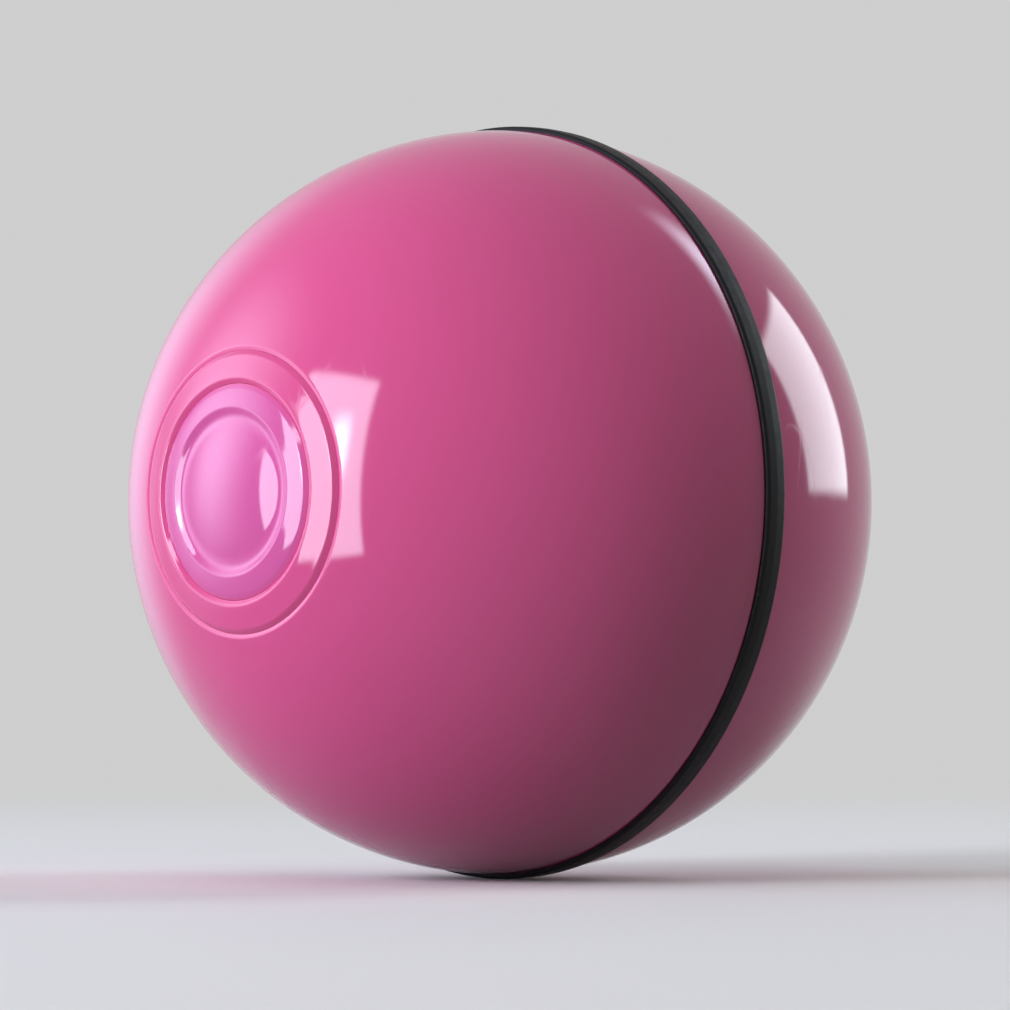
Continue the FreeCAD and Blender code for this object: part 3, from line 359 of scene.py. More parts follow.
def plate(outlines: Sequence[Array], span: Span, edge: float, upright: bool = False) -> Surface:
    """Flat piece with holes and chamfered edges.

    Formula: each outline stands in four rings between the two heights, moved into the material by
    the edge on the two faces. A face is the triangulation of its rings' points, less the triangles
    whose corners all lie on one hole.

    Args:
        outlines: closed outlines (u, v), the outside first and then the holes.
        span: the two heights.
        edge: width and height of the chamfers.
        upright: True if heights run up +Z over (x, y); else they run along the axle over (x, z).

    Returns:
        A closed surface.
    """
    loops = []
    for i, outline in enumerate(outlines):
        follow = np.roll(outline, -1, axis=0)
        area = (outline[:, 0] * follow[:, 1] - follow[:, 0] * outline[:, 1]).sum()
        loops.append(outline if (area > 0) == (i == 0) else outline[::-1])
    sizes = [len(loop) for loop in loops]
    starts, total = np.cumsum([0] + sizes[:-1]), sum(sizes)
    owner = np.repeat(np.arange(len(loops)), sizes)
    full, small = np.concatenate(loops), np.concatenate([inset(loop, edge) for loop in loops])
    here = np.arange(total)
    ahead = np.concatenate([start + (np.arange(size) + 1) % size for start, size in zip(starts, sizes)])
    face = delaunay_2d_cdt(small.tolist(), np.stack([here, ahead], -1).tolist(), [], 1, 1e-7)
    order = np.array([source[0] for source in face[3]])
    tris = order[np.array(face[2])]
    tris = tris[~((owner[tris] == owner[tris[:, :1]]).all(1) & (owner[tris[:, 0]] > 0))]
    a, b, c = small[tris[:, 0]], small[tris[:, 1]], small[tris[:, 2]]
    left = (b[:, 0] - a[:, 0]) * (c[:, 1] - a[:, 1]) - (b[:, 1] - a[:, 1]) * (c[:, 0] - a[:, 0]) > 0
    tris = np.where(left[:, None], tris, tris[:, ::-1])
    rings = zip((small, full, full, small), (span[0], span[0] + edge, span[1] - edge, span[1]))
    points = np.concatenate([np.column_stack([ring, np.full(total, height)]) for ring, height in rings])
    walls = [np.stack([here, ahead, ahead + total, here + total], -1) + k * total for k in range(3)]
    surface = Surface(points, [np.concatenate(walls), tris[:, ::-1], tris + 3 * total])
    if not upright:
        surface.points = points[:, [0, 2, 1]]
    return surface.outward()


def slab(middle: Place, half: Place, span: Span, corner: float, edge: float, upright: bool = True) -> Surface:
    """Rectangular plate with round corners, from its middle and its half sizes."""
    (u, v), (a, b) = middle, half
    return plate([box_outline((u - a, u + a), (v - b, v + b), corner)], span, edge, upright)


def make_object(name: str, surface: Surface, sharp: bool = True) -> bpy.types.Object:
    """Blender object of a surface, at the origin, with smooth faces.

    Args:
        name: the piece's name.
        surface: points in millimetres.
        sharp: False where no edge is kept sharp.

    Returns:
        The new object, linked to the scene.
    """
    mesh = bpy.data.meshes.new(name)
    points = (surface.points * MM).astype(np.float32)
    loops = np.concatenate([faces.ravel() for faces in surface.groups]).astype(np.int32)
    sizes = np.concatenate([np.full(len(faces), faces.shape[1]) for faces in surface.groups])
    starts = np.concatenate([[0], np.cumsum(sizes)[:-1]]).astype(np.int32)
    mesh.vertices.add(len(points))
    mesh.vertices.foreach_set("co", points.ravel())
    mesh.loops.add(len(loops))
    mesh.loops.foreach_set("vertex_index", loops)
    mesh.polygons.add(len(sizes))
    mesh.polygons.foreach_set("loop_start", starts)
    mesh.update(calc_edges=True)
    mesh.validate()
    mesh.polygons.foreach_set("use_smooth", np.ones(len(mesh.polygons), bool))
    if surface.mask is not None:
        layer = mesh.attributes.new("mask", "FLOAT", "POINT")
        layer.data.foreach_set("value", surface.mask.astype(np.float32))
    if sharp:
        mesh.set_sharp_from_angle(angle=math.radians(SHARP_EDGE_DEG))
    piece = bpy.data.objects.new(name, mesh)
    bpy.context.scene.collection.objects.link(piece)
    return piece


# Materials

class Tree:
    """Short way to add and join the nodes of one node tree."""

    def __init__(self, tree: bpy.types.NodeTree) -> None:
        """Keeps the tree that nodes are added to."""
        self.tree = tree

    def feed(self, node: Node, inputs: Inputs) -> Node:
        """Sets a node's inputs, and joins those that are given as sockets.

        Args:
            node: the node.
            inputs: values or sockets, by input name or number; a colour gets full alpha.

        Returns:
            The same node.
        """
        for key, value in inputs.items():
            slot = node.inputs[key]
            if isinstance(value, Socket):
                self.tree.links.new(value, slot)
            else:
                slot.default_value = (*value, 1.0) if slot.type == "RGBA" else value
        return node

    def add(self, kind: str, inputs: Optional[Inputs] = None, **settings: object) -> Node:
        """Adds a node.

        Args:
            kind: the node's type name.
            inputs: what its inputs are fed.
            settings: the node's own properties.

        Returns:
            The node.
        """
        node = self.tree.nodes.new(kind)
        for key, value in settings.items():
            setattr(node, key, value)
        return self.feed(node, inputs or {})

    def math(self, operation: str, a: Value, b: Value = 0.0, c: Value = 0.0) -> Socket:
        """Result of a Math node."""
        return self.add("ShaderNodeMath", {0: a, 1: b, 2: c}, operation=operation).outputs[0]

    def ramp(self, value: Value, low: float, high: float, start: float = 0.0, end: float = 1.0) -> Socket:
        """Value moved smoothly from the range low to high to the range start to end."""
        inputs = {"Value": value, "From Min": low, "From Max": high, "To Min": start, "To Max": end}
        return self.add("ShaderNodeMapRange", inputs, interpolation_type="SMOOTHSTEP").outputs[0]

    def mix(self, factor: Value, a: Value, b: Value, blend: str = "MIX") -> Socket:
        """Two colours mixed."""
        inputs = {0: factor, 6: a, 7: b}
        return self.add("ShaderNodeMix", inputs, data_type="RGBA", blend_type=blend).outputs[2]

    def noise(self, vector: Value, scale: Value, detail: float = 3.0, rough: float = 0.55) -> Socket:
        """Even noise from 0 to 1."""
        inputs = {"Vector": vector, "Scale": scale, "Detail": detail, "Roughness": rough}
        return self.add("ShaderNodeTexNoise", inputs).outputs["Fac"]

    def cells(self, vector: Value, scale: Value) -> Node:
        """Cell noise, with its distance and colour outputs."""
        return self.add("ShaderNodeTexVoronoi", {"Vector": vector, "Scale": scale})

    def stretched(self, vector: Value, scale: Sequence[float], turn: Sequence[float] = (0, 0, 0)) -> Socket:
        """Coordinates scaled and turned by a Mapping node."""
        return self.add("ShaderNodeMapping", {"Vector": vector, "Scale": scale, "Rotation": turn}).outputs[0]

    def place(self) -> Socket:
        """Object coordinates."""
        return self.add("ShaderNodeTexCoord").outputs["Object"]

    def mask(self) -> Socket:
        """The mesh's own mask."""
        return self.add("ShaderNodeAttribute", attribute_name="mask").outputs["Fac"]

    def parts(self, vector: Value) -> Sequence[Socket]:
        """X, Y and Z of a vector."""
        return self.add("ShaderNodeSeparateXYZ", {0: vector}).outputs

    def red(self, colour: Value) -> Socket:
        """Red part of a colour, as the value of a grey one."""
        return self.add("ShaderNodeSeparateColor", {0: colour}).outputs[0]

    def length(self, vector: Value) -> Socket:
        """Length of a vector."""
        return self.add("ShaderNodeVectorMath", {0: vector}, operation="LENGTH").outputs["Value"]


class Effect(Enum):
    """Surface effects that several finishes share, each a node group."""

    TONE = "tone drift"
    GRAIN = "moulding grain"
    SCRATCHES = "hairline scratches"
    DUST = "dust specks"


class Effects:
    """Builds each shared node group once, its drawn value first and then its inputs."""

    SOCKETS = {
        Effect.TONE: ("Colour", "Colour", "Amount", "Scale"),
        Effect.GRAIN: ("Height", "Scale"),
        Effect.SCRATCHES: ("Mask", "Scale", "Cover"),
        Effect.DUST: ("Mask", "Scale", "Cover"),
    }

    def __init__(self) -> None:
        """Builds the groups."""
        makers = (self.tone, self.grain, self.scratches, self.dust)
        self.groups = {effect: self.group(effect, maker) for effect, maker in zip(Effect, makers)}

    def group(self, effect: Effect, maker: Callable[[Tree, Sockets], Socket]) -> bpy.types.NodeTree:
        """One node group with its sockets.

        Args:
            effect: which one.
            maker: what joins its nodes and gives the socket that it puts out.

        Returns:
            The group.
        """
        group = bpy.data.node_groups.new(effect.value, "ShaderNodeTree")
        given, *wanted = self.SOCKETS[effect]
        for name, way in [(name, "INPUT") for name in wanted] + [(given, "OUTPUT")]:
            kind = "NodeSocketColor" if name == "Colour" else "NodeSocketFloat"
            group.interface.new_socket(name, in_out=way, socket_type=kind)
        tree = Tree(group)
        tree.add("NodeGroupOutput", {0: maker(tree, tree.add("NodeGroupInput").outputs)})
        return group

    def tone(self, tree: Tree, given: Sockets) -> Socket:
        """Slow lightening and darkening of a colour.

        Args:
            tree: the group's tree.
            given: its inputs.

        Returns:
            The colour.
        """
        wave = tree.noise(tree.place(), given["Scale"], 2.0)
        level = tree.math("MULTIPLY_ADD", tree.math("SUBTRACT", wave, 0.5), given["Amount"], 1.0)
        grey = tree.add("ShaderNodeCombineColor", {0: level, 1: level, 2: level}).outputs[0]
        return tree.mix(1.0, given["Colour"], grey, "MULTIPLY")

    def grain(self, tree: Tree, given: Sockets) -> Socket:
        """Fine pebbled height of a moulded surface.

        Args:
            tree: the group's tree.
            given: its inputs.

        Returns:
            The height.
        """
        place = tree.place()
        fine = tree.noise(place, tree.math("MULTIPLY", given["Scale"], 3.7), 2.0)
        return tree.math("MULTIPLY_ADD", fine, 0.4, tree.noise(place, given["Scale"], 2.0))

    def scratches(self, tree: Tree, given: Sockets) -> Socket:
        """Thin lines where a stretched noise crosses its middle, in three directions, broken up.

        Args:
            tree: the group's tree.
            given: its inputs.

        Returns:
            The mask.
        """
        place, lines = tree.place(), 0.0
        for turn, pull in (((0.3, 0.2, 0.5), 9.0), ((1.4, 0.9, 2.1), 11.0), ((2.3, 2.6, 0.9), 7.0)):
            wave = tree.noise(tree.stretched(place, (1.0, 1.0, 1.0 / pull), turn), given["Scale"], 1.0)
            near = tree.math("ABSOLUTE", tree.math("SUBTRACT", wave, 0.5))
            lines = tree.math("MAXIMUM", tree.ramp(near, 0.0, 0.006, 1.0, 0.0), lines)
        patch = tree.noise(place, tree.math("MULTIPLY", given["Scale"], 0.6), 2.0)
        gate = tree.ramp(tree.math("ADD", patch, given["Cover"]), 0.75, 0.81)
        return tree.math("MULTIPLY", lines, gate)

    def dust(self, tree: Tree, given: Sockets) -> Socket:
        """Small round specks at scattered cell centres.

        Args:
            tree: the group's tree.
            given: its inputs.

        Returns:
            The mask.
        """
        cells = tree.cells(tree.place(), given["Scale"]).outputs
        speck = tree.ramp(cells["Distance"], 0.05, 0.12, 1.0, 0.0)
        return tree.math("MULTIPLY", speck, tree.math("LESS_THAN", tree.red(cells["Color"]), given["Cover"]))


class Coat(Tree):
    """One material while it is made: its nodes, its shader and the shared effects."""

    def __init__(self, name: str, effects: Effects) -> None:
        """Makes a node material with one shader.

        Args:
            name: the material's name.
            effects: the shared groups.
        """
        self.material = bpy.data.materials.new(name)
        self.material.use_nodes = True
        self.material.node_tree.nodes.clear()
        super().__init__(self.material.node_tree)
        self.effects = effects
        self.shader = self.add("ShaderNodeBsdfPrincipled")
        self.add("ShaderNodeOutputMaterial", {"Surface": self.shader.outputs[0]})

    def effect(self, effect: Effect, **inputs: Value) -> Socket:
        """Output of a shared effect with this material's own values."""
        return self.add("ShaderNodeGroup", inputs, node_tree=self.effects.groups[effect]).outputs[0]

    def tone(self, colour: Value, amount: float, scale: float) -> Socket:
        """Colour with the tone drift."""
        return self.effect(Effect.TONE, Colour=colour, Amount=amount, Scale=scale)

    def grain(self, scale: float) -> Socket:
        """Height of the moulding grain."""
        return self.effect(Effect.GRAIN, Scale=scale)

    def hairs(self, scale: float, cover: float) -> Socket:
        """Mask of the hairline scratches."""
        return self.effect(Effect.SCRATCHES, Scale=scale, Cover=cover)

    def shade(self, **inputs: Value) -> None:
        """Feeds the shader, an underscore standing for a space."""
        self.feed(self.shader, {key.replace("_", " "): value for key, value in inputs.items()})

    def relief(self, height: Value, depth_mm: float) -> None:
        """Height from 0 to 1 as relief of a real depth."""
        bump = self.add("ShaderNodeBump", {"Strength": 1.0, "Distance": depth_mm * MM, "Height": height})
        self.shade(Normal=bump.outputs[0])


@dataclass(frozen=True)
class Finish:
    """Base of all finishes: the name of the material and its main colour."""

    name: str
    colour: Colour

    def material(self, effects: Effects) -> bpy.types.Material:
        """New material with this finish.

        Args:
            effects: the shared groups.

        Returns:
            The material.
        """
        coat = Coat(self.name, effects)
        self.dress(coat)
        return coat.material

    def dress(self, coat: Coat) -> None:
        """Joins the finish's nodes to the coat's shader."""
        raise NotImplementedError


@dataclass(frozen=True)
class GlossShell(Finish):
    """Polished moulded plastic, glossy where the piece's mask is 1 and plainer inside the shell."""

    roughness: float = 0.06
    inside_roughness: float = 0.42
    # core is a lavender tint painted on the pole disc as its reflection of bluish light, out to the radius
    # below.
    core: Optional[Colour] = None
    painted_reflection_radius: float = 8.9

    def tint(self, coat: Coat) -> Value:
        """Colour, turning to a lavender tint within a radius of the axle: a painted reflection of bluish
        light on the pole disc.

        Args:
            coat: the material being made.

        Returns:
            The plain colour or a socket.
        """
        if self.core is None:
            return self.colour
        # Painted reflection: within this radius of the axle the colour turns to the lavender tint.
        radius = coat.length(coat.stretched(coat.place(), (1.0, 0.0, 1.0)))
        within = coat.ramp(radius, (self.painted_reflection_radius - 0.3) * MM, (self.painted_reflection_radius + 0.1) * MM, 1.0, 0.0)
        return coat.mix(within, self.colour, self.core)

    def dress(self, coat: Coat) -> None:
        """Tone drift, hairlines and a very slight waviness of the polish.

        Args:
            coat: the material being made.
        """
        place, hairs = coat.place(), coat.hairs(90.0, 0.28)
        polish = coat.ramp(coat.noise(place, 45.0), 0.3, 0.8, self.roughness * 0.8, self.roughness * 1.5)
        worn = coat.math("MULTIPLY_ADD", hairs, 0.10, polish)
        inside = coat.math("SUBTRACT", 1.0, coat.mask())
        rough = coat.math("MULTIPLY_ADD", inside, self.inside_roughness, worn)
        coat.shade(Base_Color=coat.tone(self.tint(coat), 0.05, 60.0), Roughness=rough, IOR=1.5)
        coat.relief(coat.math("MULTIPLY_ADD", hairs, -0.6, coat.noise(place, 260.0, 1.0)), 0.0012)


@dataclass(frozen=True)
class Moulded(Finish):
    """Plain moulded plastic with a fine eroded grain, and metal inserts where the piece's mask is 1."""

    roughness: float = 0.45
    grain: float = 900.0
    depth: float = 0.012
    insert: Optional[Colour] = None

    def dress(self, coat: Coat) -> None:
        """Grain in the relief and the gloss, tone drift in the colour.

        Args:
            coat: the material being made.
        """
        height = coat.grain(self.grain)
        colour = coat.tone(self.colour, 0.08, 140.0)
        rough = coat.ramp(height, 0.3, 1.1, self.roughness - 0.08, self.roughness + 0.10)
        rough = coat.math("MULTIPLY_ADD", coat.hairs(140.0, 0.25), 0.08, rough)
        if self.insert is not None:
            metal = coat.mask()
            colour = coat.mix(metal, colour, coat.tone(self.insert, 0.12, 600.0))
            rough = coat.math("MULTIPLY", rough, coat.ramp(metal, 0.0, 1.0, 1.0, 0.6))
            coat.shade(Metallic=metal)
        coat.shade(Base_Color=colour, Roughness=rough)
        coat.relief(height, self.depth)


@dataclass(frozen=True)
class Rubber(Finish):
    """Soft rubber, dull with a fine grain and a little dust."""

    roughness: float = 0.5
    dust: float = 0.10
    dust_colour: Colour = (0.35, 0.33, 0.32)

    def dress(self, coat: Coat) -> None:
        """Fine grain and dust specks, with the weak gloss of rubber.

        Args:
            coat: the material being made.
        """
        height = coat.grain(1400.0)
        dust = coat.effect(Effect.DUST, Scale=900.0, Cover=self.dust)
        toned = coat.tone(self.colour, 0.3, 200.0)
        pale = coat.mix(coat.math("MULTIPLY", dust, 0.2), toned, self.dust_colour)
        rough = coat.ramp(height, 0.3, 1.1, self.roughness - 0.08, self.roughness + 0.08)
        coat.shade(Base_Color=pale, Roughness=rough, Specular_IOR_Level=0.15)
        coat.relief(height, 0.015)


class Lay(Enum):
    """Direction that the tool marks of a metal run in, as the scale of their noise."""

    ALONG_AXLE = (1.0, 0.06, 1.0)
    ROUND_AXLE = (0.25, 3.0, 0.25)
    CAST = (1.0, 1.0, 1.0)


@dataclass(frozen=True)
class Metal(Finish):
    """Bare or plated metal with fine tool marks."""

    roughness: float = 0.3
    lay: Lay = Lay.ROUND_AXLE
    marks: float = 2400.0
    depth: float = 0.004

    def dress(self, coat: Coat) -> None:
        """Tool marks in the gloss and relief, with handling tone in the colour.

        Args:
            coat: the material being made.
        """
        fine = coat.noise(coat.stretched(coat.place(), self.lay.value), self.marks)
        rough = coat.ramp(fine, 0.25, 0.75, self.roughness * 0.7, self.roughness * 1.3)
        coat.shade(Base_Color=coat.tone(self.colour, 0.18, 260.0), Roughness=rough, Metallic=1.0)
        coat.relief(fine, self.depth)


@dataclass(frozen=True)
class Winding(Finish):
    """Stacked steel sheets, and enamelled copper wire in close turns where the piece's mask is 1."""

    steel: Colour = (0.42, 0.42, 0.43)
    pitch: float = 0.22

    def dress(self, coat: Coat) -> None:
        """Ridges from a sine, with painted shade between them.

        Args:
            coat: the material being made.
        """
        across = coat.parts(coat.place())[0]
        turns = coat.math("SINE", coat.math("MULTIPLY", across, 2 * math.pi / (self.pitch * MM)))
        metal = coat.mix(coat.mask(), self.steel, coat.tone(self.colour, 0.3, 300.0))
        # Painted shade: the winding's colour at 35 percent in the grooves between turns.
        deep = coat.mix(coat.ramp(turns, -1.0, 1.0), tuple(c * 0.35 for c in self.colour), metal)
        coat.shade(Base_Color=deep, Roughness=coat.ramp(turns, -1.0, 1.0, 0.45, 0.22), Metallic=0.85)
        coat.relief(turns, 0.05)


@dataclass(frozen=True)
class CircuitBoard(Finish):
    """Glass epoxy with solder mask over copper tracks, and bare cut edges."""

    track: Colour
    edge: Colour = (0.42, 0.38, 0.22)

    def dress(self, coat: Coat) -> None:
        """Tracks on a square pitch where a noise picks them, as slight relief under the mask.

        The faces look up, or along the axle where the piece's mask is 1.

        Args:
            coat: the material being made.
        """
        place = coat.place()
        brick = {
            "Vector": place, "Scale": 330.0, "Mortar Size": 0.035, "Mortar Smooth": 0.1, "Brick Width": 1.6,
            "Row Height": 0.5, "Color1": (0, 0, 0), "Color2": (0, 0, 0), "Mortar": (1, 1, 1),
        }
        lines = coat.red(coat.add("ShaderNodeTexBrick", brick, offset=0.5).outputs[0])
        tracks = coat.math("MULTIPLY", lines, coat.ramp(coat.noise(place, 240.0, 1.0), 0.45, 0.5))
        vias = coat.ramp(coat.cells(place, 480.0).outputs["Distance"], 0.09, 0.12, 1.0, 0.0)
        copper = coat.math("MAXIMUM", tracks, vias)
        normal = coat.parts(coat.add("ShaderNodeNewGeometry").outputs["Normal"])
        along, up = coat.math("ABSOLUTE", normal[1]), coat.math("ABSOLUTE", normal[2])
        facing = coat.math("MULTIPLY_ADD", coat.mask(), coat.math("SUBTRACT", along, up), up)
        face = coat.ramp(facing, 0.6, 0.8)
        masked = coat.mix(coat.math("MULTIPLY", copper, 0.85), coat.tone(self.colour, 0.2, 200.0), self.track)
        rough = coat.ramp(face, 0.0, 1.0, 0.7, 0.28)
        coat.shade(Base_Color=coat.mix(face, self.edge, masked), Roughness=rough)
        coat.relief(copper, 0.03)


@dataclass(frozen=True)
class Foam(Finish):
    """Closed-cell foam."""

    def dress(self, coat: Coat) -> None:
        """Small cells in the relief, darker between them.

        Args:
            coat: the material being made.
        """
        cells = coat.cells(coat.place(), 2600.0).outputs["Distance"]
        between = tuple(c * 0.5 for c in self.colour)
        shaded = coat.mix(coat.ramp(cells, 0.3, 0.7), coat.tone(self.colour, 0.3, 300.0), between)
        coat.shade(Base_Color=shaded, Roughness=coat.ramp(cells, 0.0, 0.8, 0.75, 0.95))
        coat.relief(cells, 0.06)


@dataclass(frozen=True)
class Pouch(Finish):
    """Aluminium laminate of a pouch cell, softly creased, and amber tape where the piece's mask is 1."""

    tape: Colour = (0.62, 0.30, 0.04)

    def dress(self, coat: Coat) -> None:
        """Shallow creases in the relief and hairlines in the gloss.

        Args:
            coat: the material being made.
        """
        creases, taped = coat.noise(coat.place(), 130.0, 4.0, 0.6), coat.mask()
        rough = coat.ramp(creases, 0.3, 0.7, 0.26, 0.38)
        rough = coat.math("MULTIPLY_ADD", coat.hairs(160.0, 0.4), 0.15, rough)
        colour = coat.mix(taped, coat.tone(self.colour, 0.15, 120.0), self.tape)
        coat.shade(Base_Color=colour, Roughness=rough, Metallic=coat.ramp(taped, 0.0, 1.0, 0.9, 0.1))
        coat.relief(creases, 0.12)


@dataclass(frozen=True)
class WirePair(Finish):
    """Soft wire insulation, in one colour where the piece's mask is 1 and another where it is 0."""

    other: Colour

    def dress(self, coat: Coat) -> None:
        """Two insulation colours with a fine grain.

        Args:
            coat: the material being made.
        """
        height = coat.grain(1800.0)
        colour = coat.tone(coat.mix(coat.mask(), self.other, self.colour), 0.15, 300.0)
        coat.shade(Base_Color=colour, Roughness=coat.ramp(height, 0.3, 1.1, 0.35, 0.5))
        coat.relief(height, 0.01)


@dataclass(frozen=True)
class LampLens(Finish):
    """Small lamp: white base, and tinted clear resin where the piece's mask is 1."""

    lens: Colour

    def dress(self, coat: Coat) -> None:
        """Two colours, the resin glossier, with a slight waviness.

        Args:
            coat: the material being made.
        """
        lens = coat.mask()
        colour = coat.tone(coat.mix(lens, self.colour, self.lens), 0.15, 900.0)
        coat.shade(Base_Color=colour, Roughness=coat.ramp(lens, 0.0, 1.0, 0.5, 0.12))
        coat.relief(coat.noise(coat.place(), 1500.0, 1.0), 0.004)


PINK = (0.70, 0.075, 0.245)
# The second pink is a lavender tint, painted on the caps' pole disc as its reflection of bluish light.
PAINTED_REFLECTION_PINK = (0.66, 0.095, 0.32)
FINISHES: dict[str, Finish] = {
    "pink_shell": GlossShell("glossy rose plastic", PINK),
    "pink_cap": GlossShell("glossy rose plastic of the caps", PINK, core=PAINTED_REFLECTION_PINK),
    "black_rubber": Rubber("black tread rubber", (0.0065, 0.0055, 0.0065), 0.50, 0.03),
    "seal_rubber": Rubber("grey silicone", (0.28, 0.28, 0.29), 0.45, 0.04),
    "white_frame": Moulded("natural white plastic", (0.74, 0.73, 0.69), 0.42),
    "gear_plastic": Moulded("ivory acetal", (0.80, 0.77, 0.68), 0.32, 700.0, 0.004),
    "bush_plastic": Moulded("black acetal", (0.025, 0.025, 0.027), 0.34, 700.0, 0.004),
    "black_plastic": Moulded("black moulded plastic", (0.018, 0.018, 0.019), 0.4, insert=(0.66, 0.60, 0.45)),
    "motor_cap": Moulded("cream nylon", (0.66, 0.64, 0.57), 0.45),
    "chips": Moulded(
        "moulded component bodies", (0.022, 0.022, 0.024), 0.5, 1500.0, 0.006, (0.68, 0.68, 0.66)),
    "steel": Metal("ground steel", (0.60, 0.60, 0.61), 0.24),
    "spring_steel": Metal("spring steel", (0.50, 0.50, 0.51), 0.28, Lay.ALONG_AXLE),
    "zinc_screw": Metal("zinc plated steel", (0.62, 0.62, 0.60), 0.32, Lay.CAST, 1600.0),
    "weight_iron": Metal("raw steel weight", (0.24, 0.235, 0.23), 0.5, Lay.CAST, 700.0, 0.03),
    "motor_steel": Metal("nickel plated can", (0.66, 0.65, 0.64), 0.22, Lay.ALONG_AXLE),
    "magnet": Metal("sintered ferrite", (0.09, 0.09, 0.095), 0.62, Lay.CAST, 1200.0, 0.02),
    "brass": Metal("turned brass", (0.76, 0.56, 0.24), 0.26),
    "sensor": Metal("gold plated sensor can", (0.80, 0.66, 0.36), 0.25, Lay.ALONG_AXLE),
    "copper": Winding("enamelled copper winding", (0.72, 0.32, 0.13)),
    "foil": Pouch("aluminium laminate", (0.70, 0.71, 0.73)),
    "foam": Foam("grey foam", (0.09, 0.09, 0.095)),
    "board": CircuitBoard("green circuit board", (0.012, 0.13, 0.05), (0.05, 0.26, 0.10)),
    "lamp_lens": LampLens("lamp of the charging light", (0.70, 0.69, 0.64), (0.62, 0.05, 0.03)),
    "red_black_wire": WirePair("wire insulation", (0.55, 0.02, 0.02), (0.015, 0.015, 0.016)),
}


class Wardrobe:
    """All materials by the record's slot names, and the way to put them on pieces."""

    def __init__(self, record: dict) -> None:
        """Builds one material for each slot that a node uses.

        Args:
            record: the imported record, which names each node's slot and body.
        """
        effects = Effects()
        self.slot_of = {part["node"]: part["material_slot"] for part in record["subparts"]}
        bodies = record["behaviour"]["bodies"]
        self.body_of = {node: body for body, nodes in bodies.items() for node in nodes}
        slots = sorted(set(self.slot_of.values()))
        self.materials = {slot: FINISHES[slot].material(effects) for slot in slots}

    def dress_nodes(self, nodes: dict[str, bpy.types.Object]) -> None:
        """Gives each CAD node its slot's material.

        Args:
            nodes: the nodes' objects by name.
        """
        for name, node in nodes.items():
            node.data.materials.clear()
            node.data.materials.append(self.materials[self.slot_of[name]])
        LOG.info("dressed %d CAD nodes in %d finishes", len(nodes), len(self.materials))

    def wear(self, name: str, surface: Surface, node: str, sharp: bool = True) -> bpy.types.Object:
        """Makes and finishes a new piece, with the material, slot and body of the node it stands for.

        Args:
            name: the piece's name.
            surface: its shape in millimetres.
            node: the CAD node that it replaces.
            sharp: False where no edge is kept sharp.

        Returns:
            The piece.
        """
        slot, body = self.slot_of[node], self.body_of[node]
        piece = make_object(name, surface, sharp)
        piece.data.materials.append(self.materials[slot])
        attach(piece, body)
        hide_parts(node)
        LOG.info("%s: %d faces, on %s, for %s", name, len(piece.data.polygons), body, node)
        return piece


def hub_screw_places(radius: float = 5.8) -> list[Place]:
    """(x, z) of the three screws that hold the hub gear."""
    return [(radius * math.cos(a), radius * math.sin(a)) for a in np.radians([90, 210, 330])]


# The ball's outside

@dataclass
class Ball:
    """Sizes that the shells, the band and the pole pieces share."""

    radius: float = 32.0
    inner: float = 29.4
    half_band: float = 1.1
    band_seat: float = 31.0
    band_top: float = 32.4
    pole_hole: float = 11.685
    floor_out: float = 27.2
    floor_in: float = 25.6
    columns: int = 256

    def height(self, r: float) -> float:
        """Distance of the outside from the middle plane at a radius from the axle."""
        return math.sqrt(self.radius ** 2 - r ** 2)

    def inner_height(self, r: float) -> float:
        """The same for the inside."""
        return math.sqrt(self.inner ** 2 - r ** 2)


@dataclass
class SoftSeam:
    """Soft groove where two glossy pieces meet: a straight flank to the seam under a round shoulder."""

    half_width: float
    depth: float
    shoulder: float = 0.6

    def flank(self, ball: Ball, seam: float, side: int) -> list[Corner]:
        """Corners of one flank, from the ball's surface to the seam; side is -1 inside it and 1 outside."""
        top = seam + side * self.half_width
        return [(top, ball.height(top), self.shoulder), (seam, ball.height(seam) - self.depth, 0.03)]


OUTER_SEAM = SoftSeam(0.35, 0.20)
INNER_SEAM = SoftSeam(0.42, 0.24)


@dataclass
class ScrewThread:
    """Coarse thread ridges between the shells, each a trapezium carried up a helix."""

    lead: float = 12.0
    starts: int = 4
    root: float = 0.9
    crest: float = 0.6

    def ridges(self, radii: Span, y_from: float, rise: float, start_turn: float) -> list[Surface]:
        """Ridges of one shell.

        Formula: at height s up the helix, the turn is t = 360 s / lead, the path is
        (r cos(t), y + s, -r sin(t)) and the section's depth runs along the radius.

        Args:
            radii: radius where the ridge meets its wall, and that of its crest.
            y_from: where the ridges begin along the axle.
            rise: how far they climb.
            start_turn: turn of the first ridge in degrees.

        Returns:
            One surface per start.
        """
        s = np.linspace(0, rise, 40)
        ends = np.clip(np.minimum(s, rise - s) / (rise * 0.08), 0.15, 1.0)
        depth, foot, top = radii[1] - radii[0], self.root / 2, self.crest / 2
        section = np.array([[0, -foot], [depth, -top], [depth, top], [0, foot]])
        ridges = []
        for i in range(self.starts):
            t = np.radians(start_turn + i * 360 / self.starts) + 2 * math.pi * s / self.lead
            out = np.stack([np.cos(t), 0 * t, -np.sin(t)], -1)
            path = out * radii[0] + np.stack([0 * s, y_from + s, 0 * s], -1)
            ridge = swept(path, out, section)
            points = ridge.points.reshape(len(s), 4, 3)
            points += (ends - 1)[:, None, None] * (points - path[:, None])
            ridges.append(ridge.marked(0.0))
        return ridges


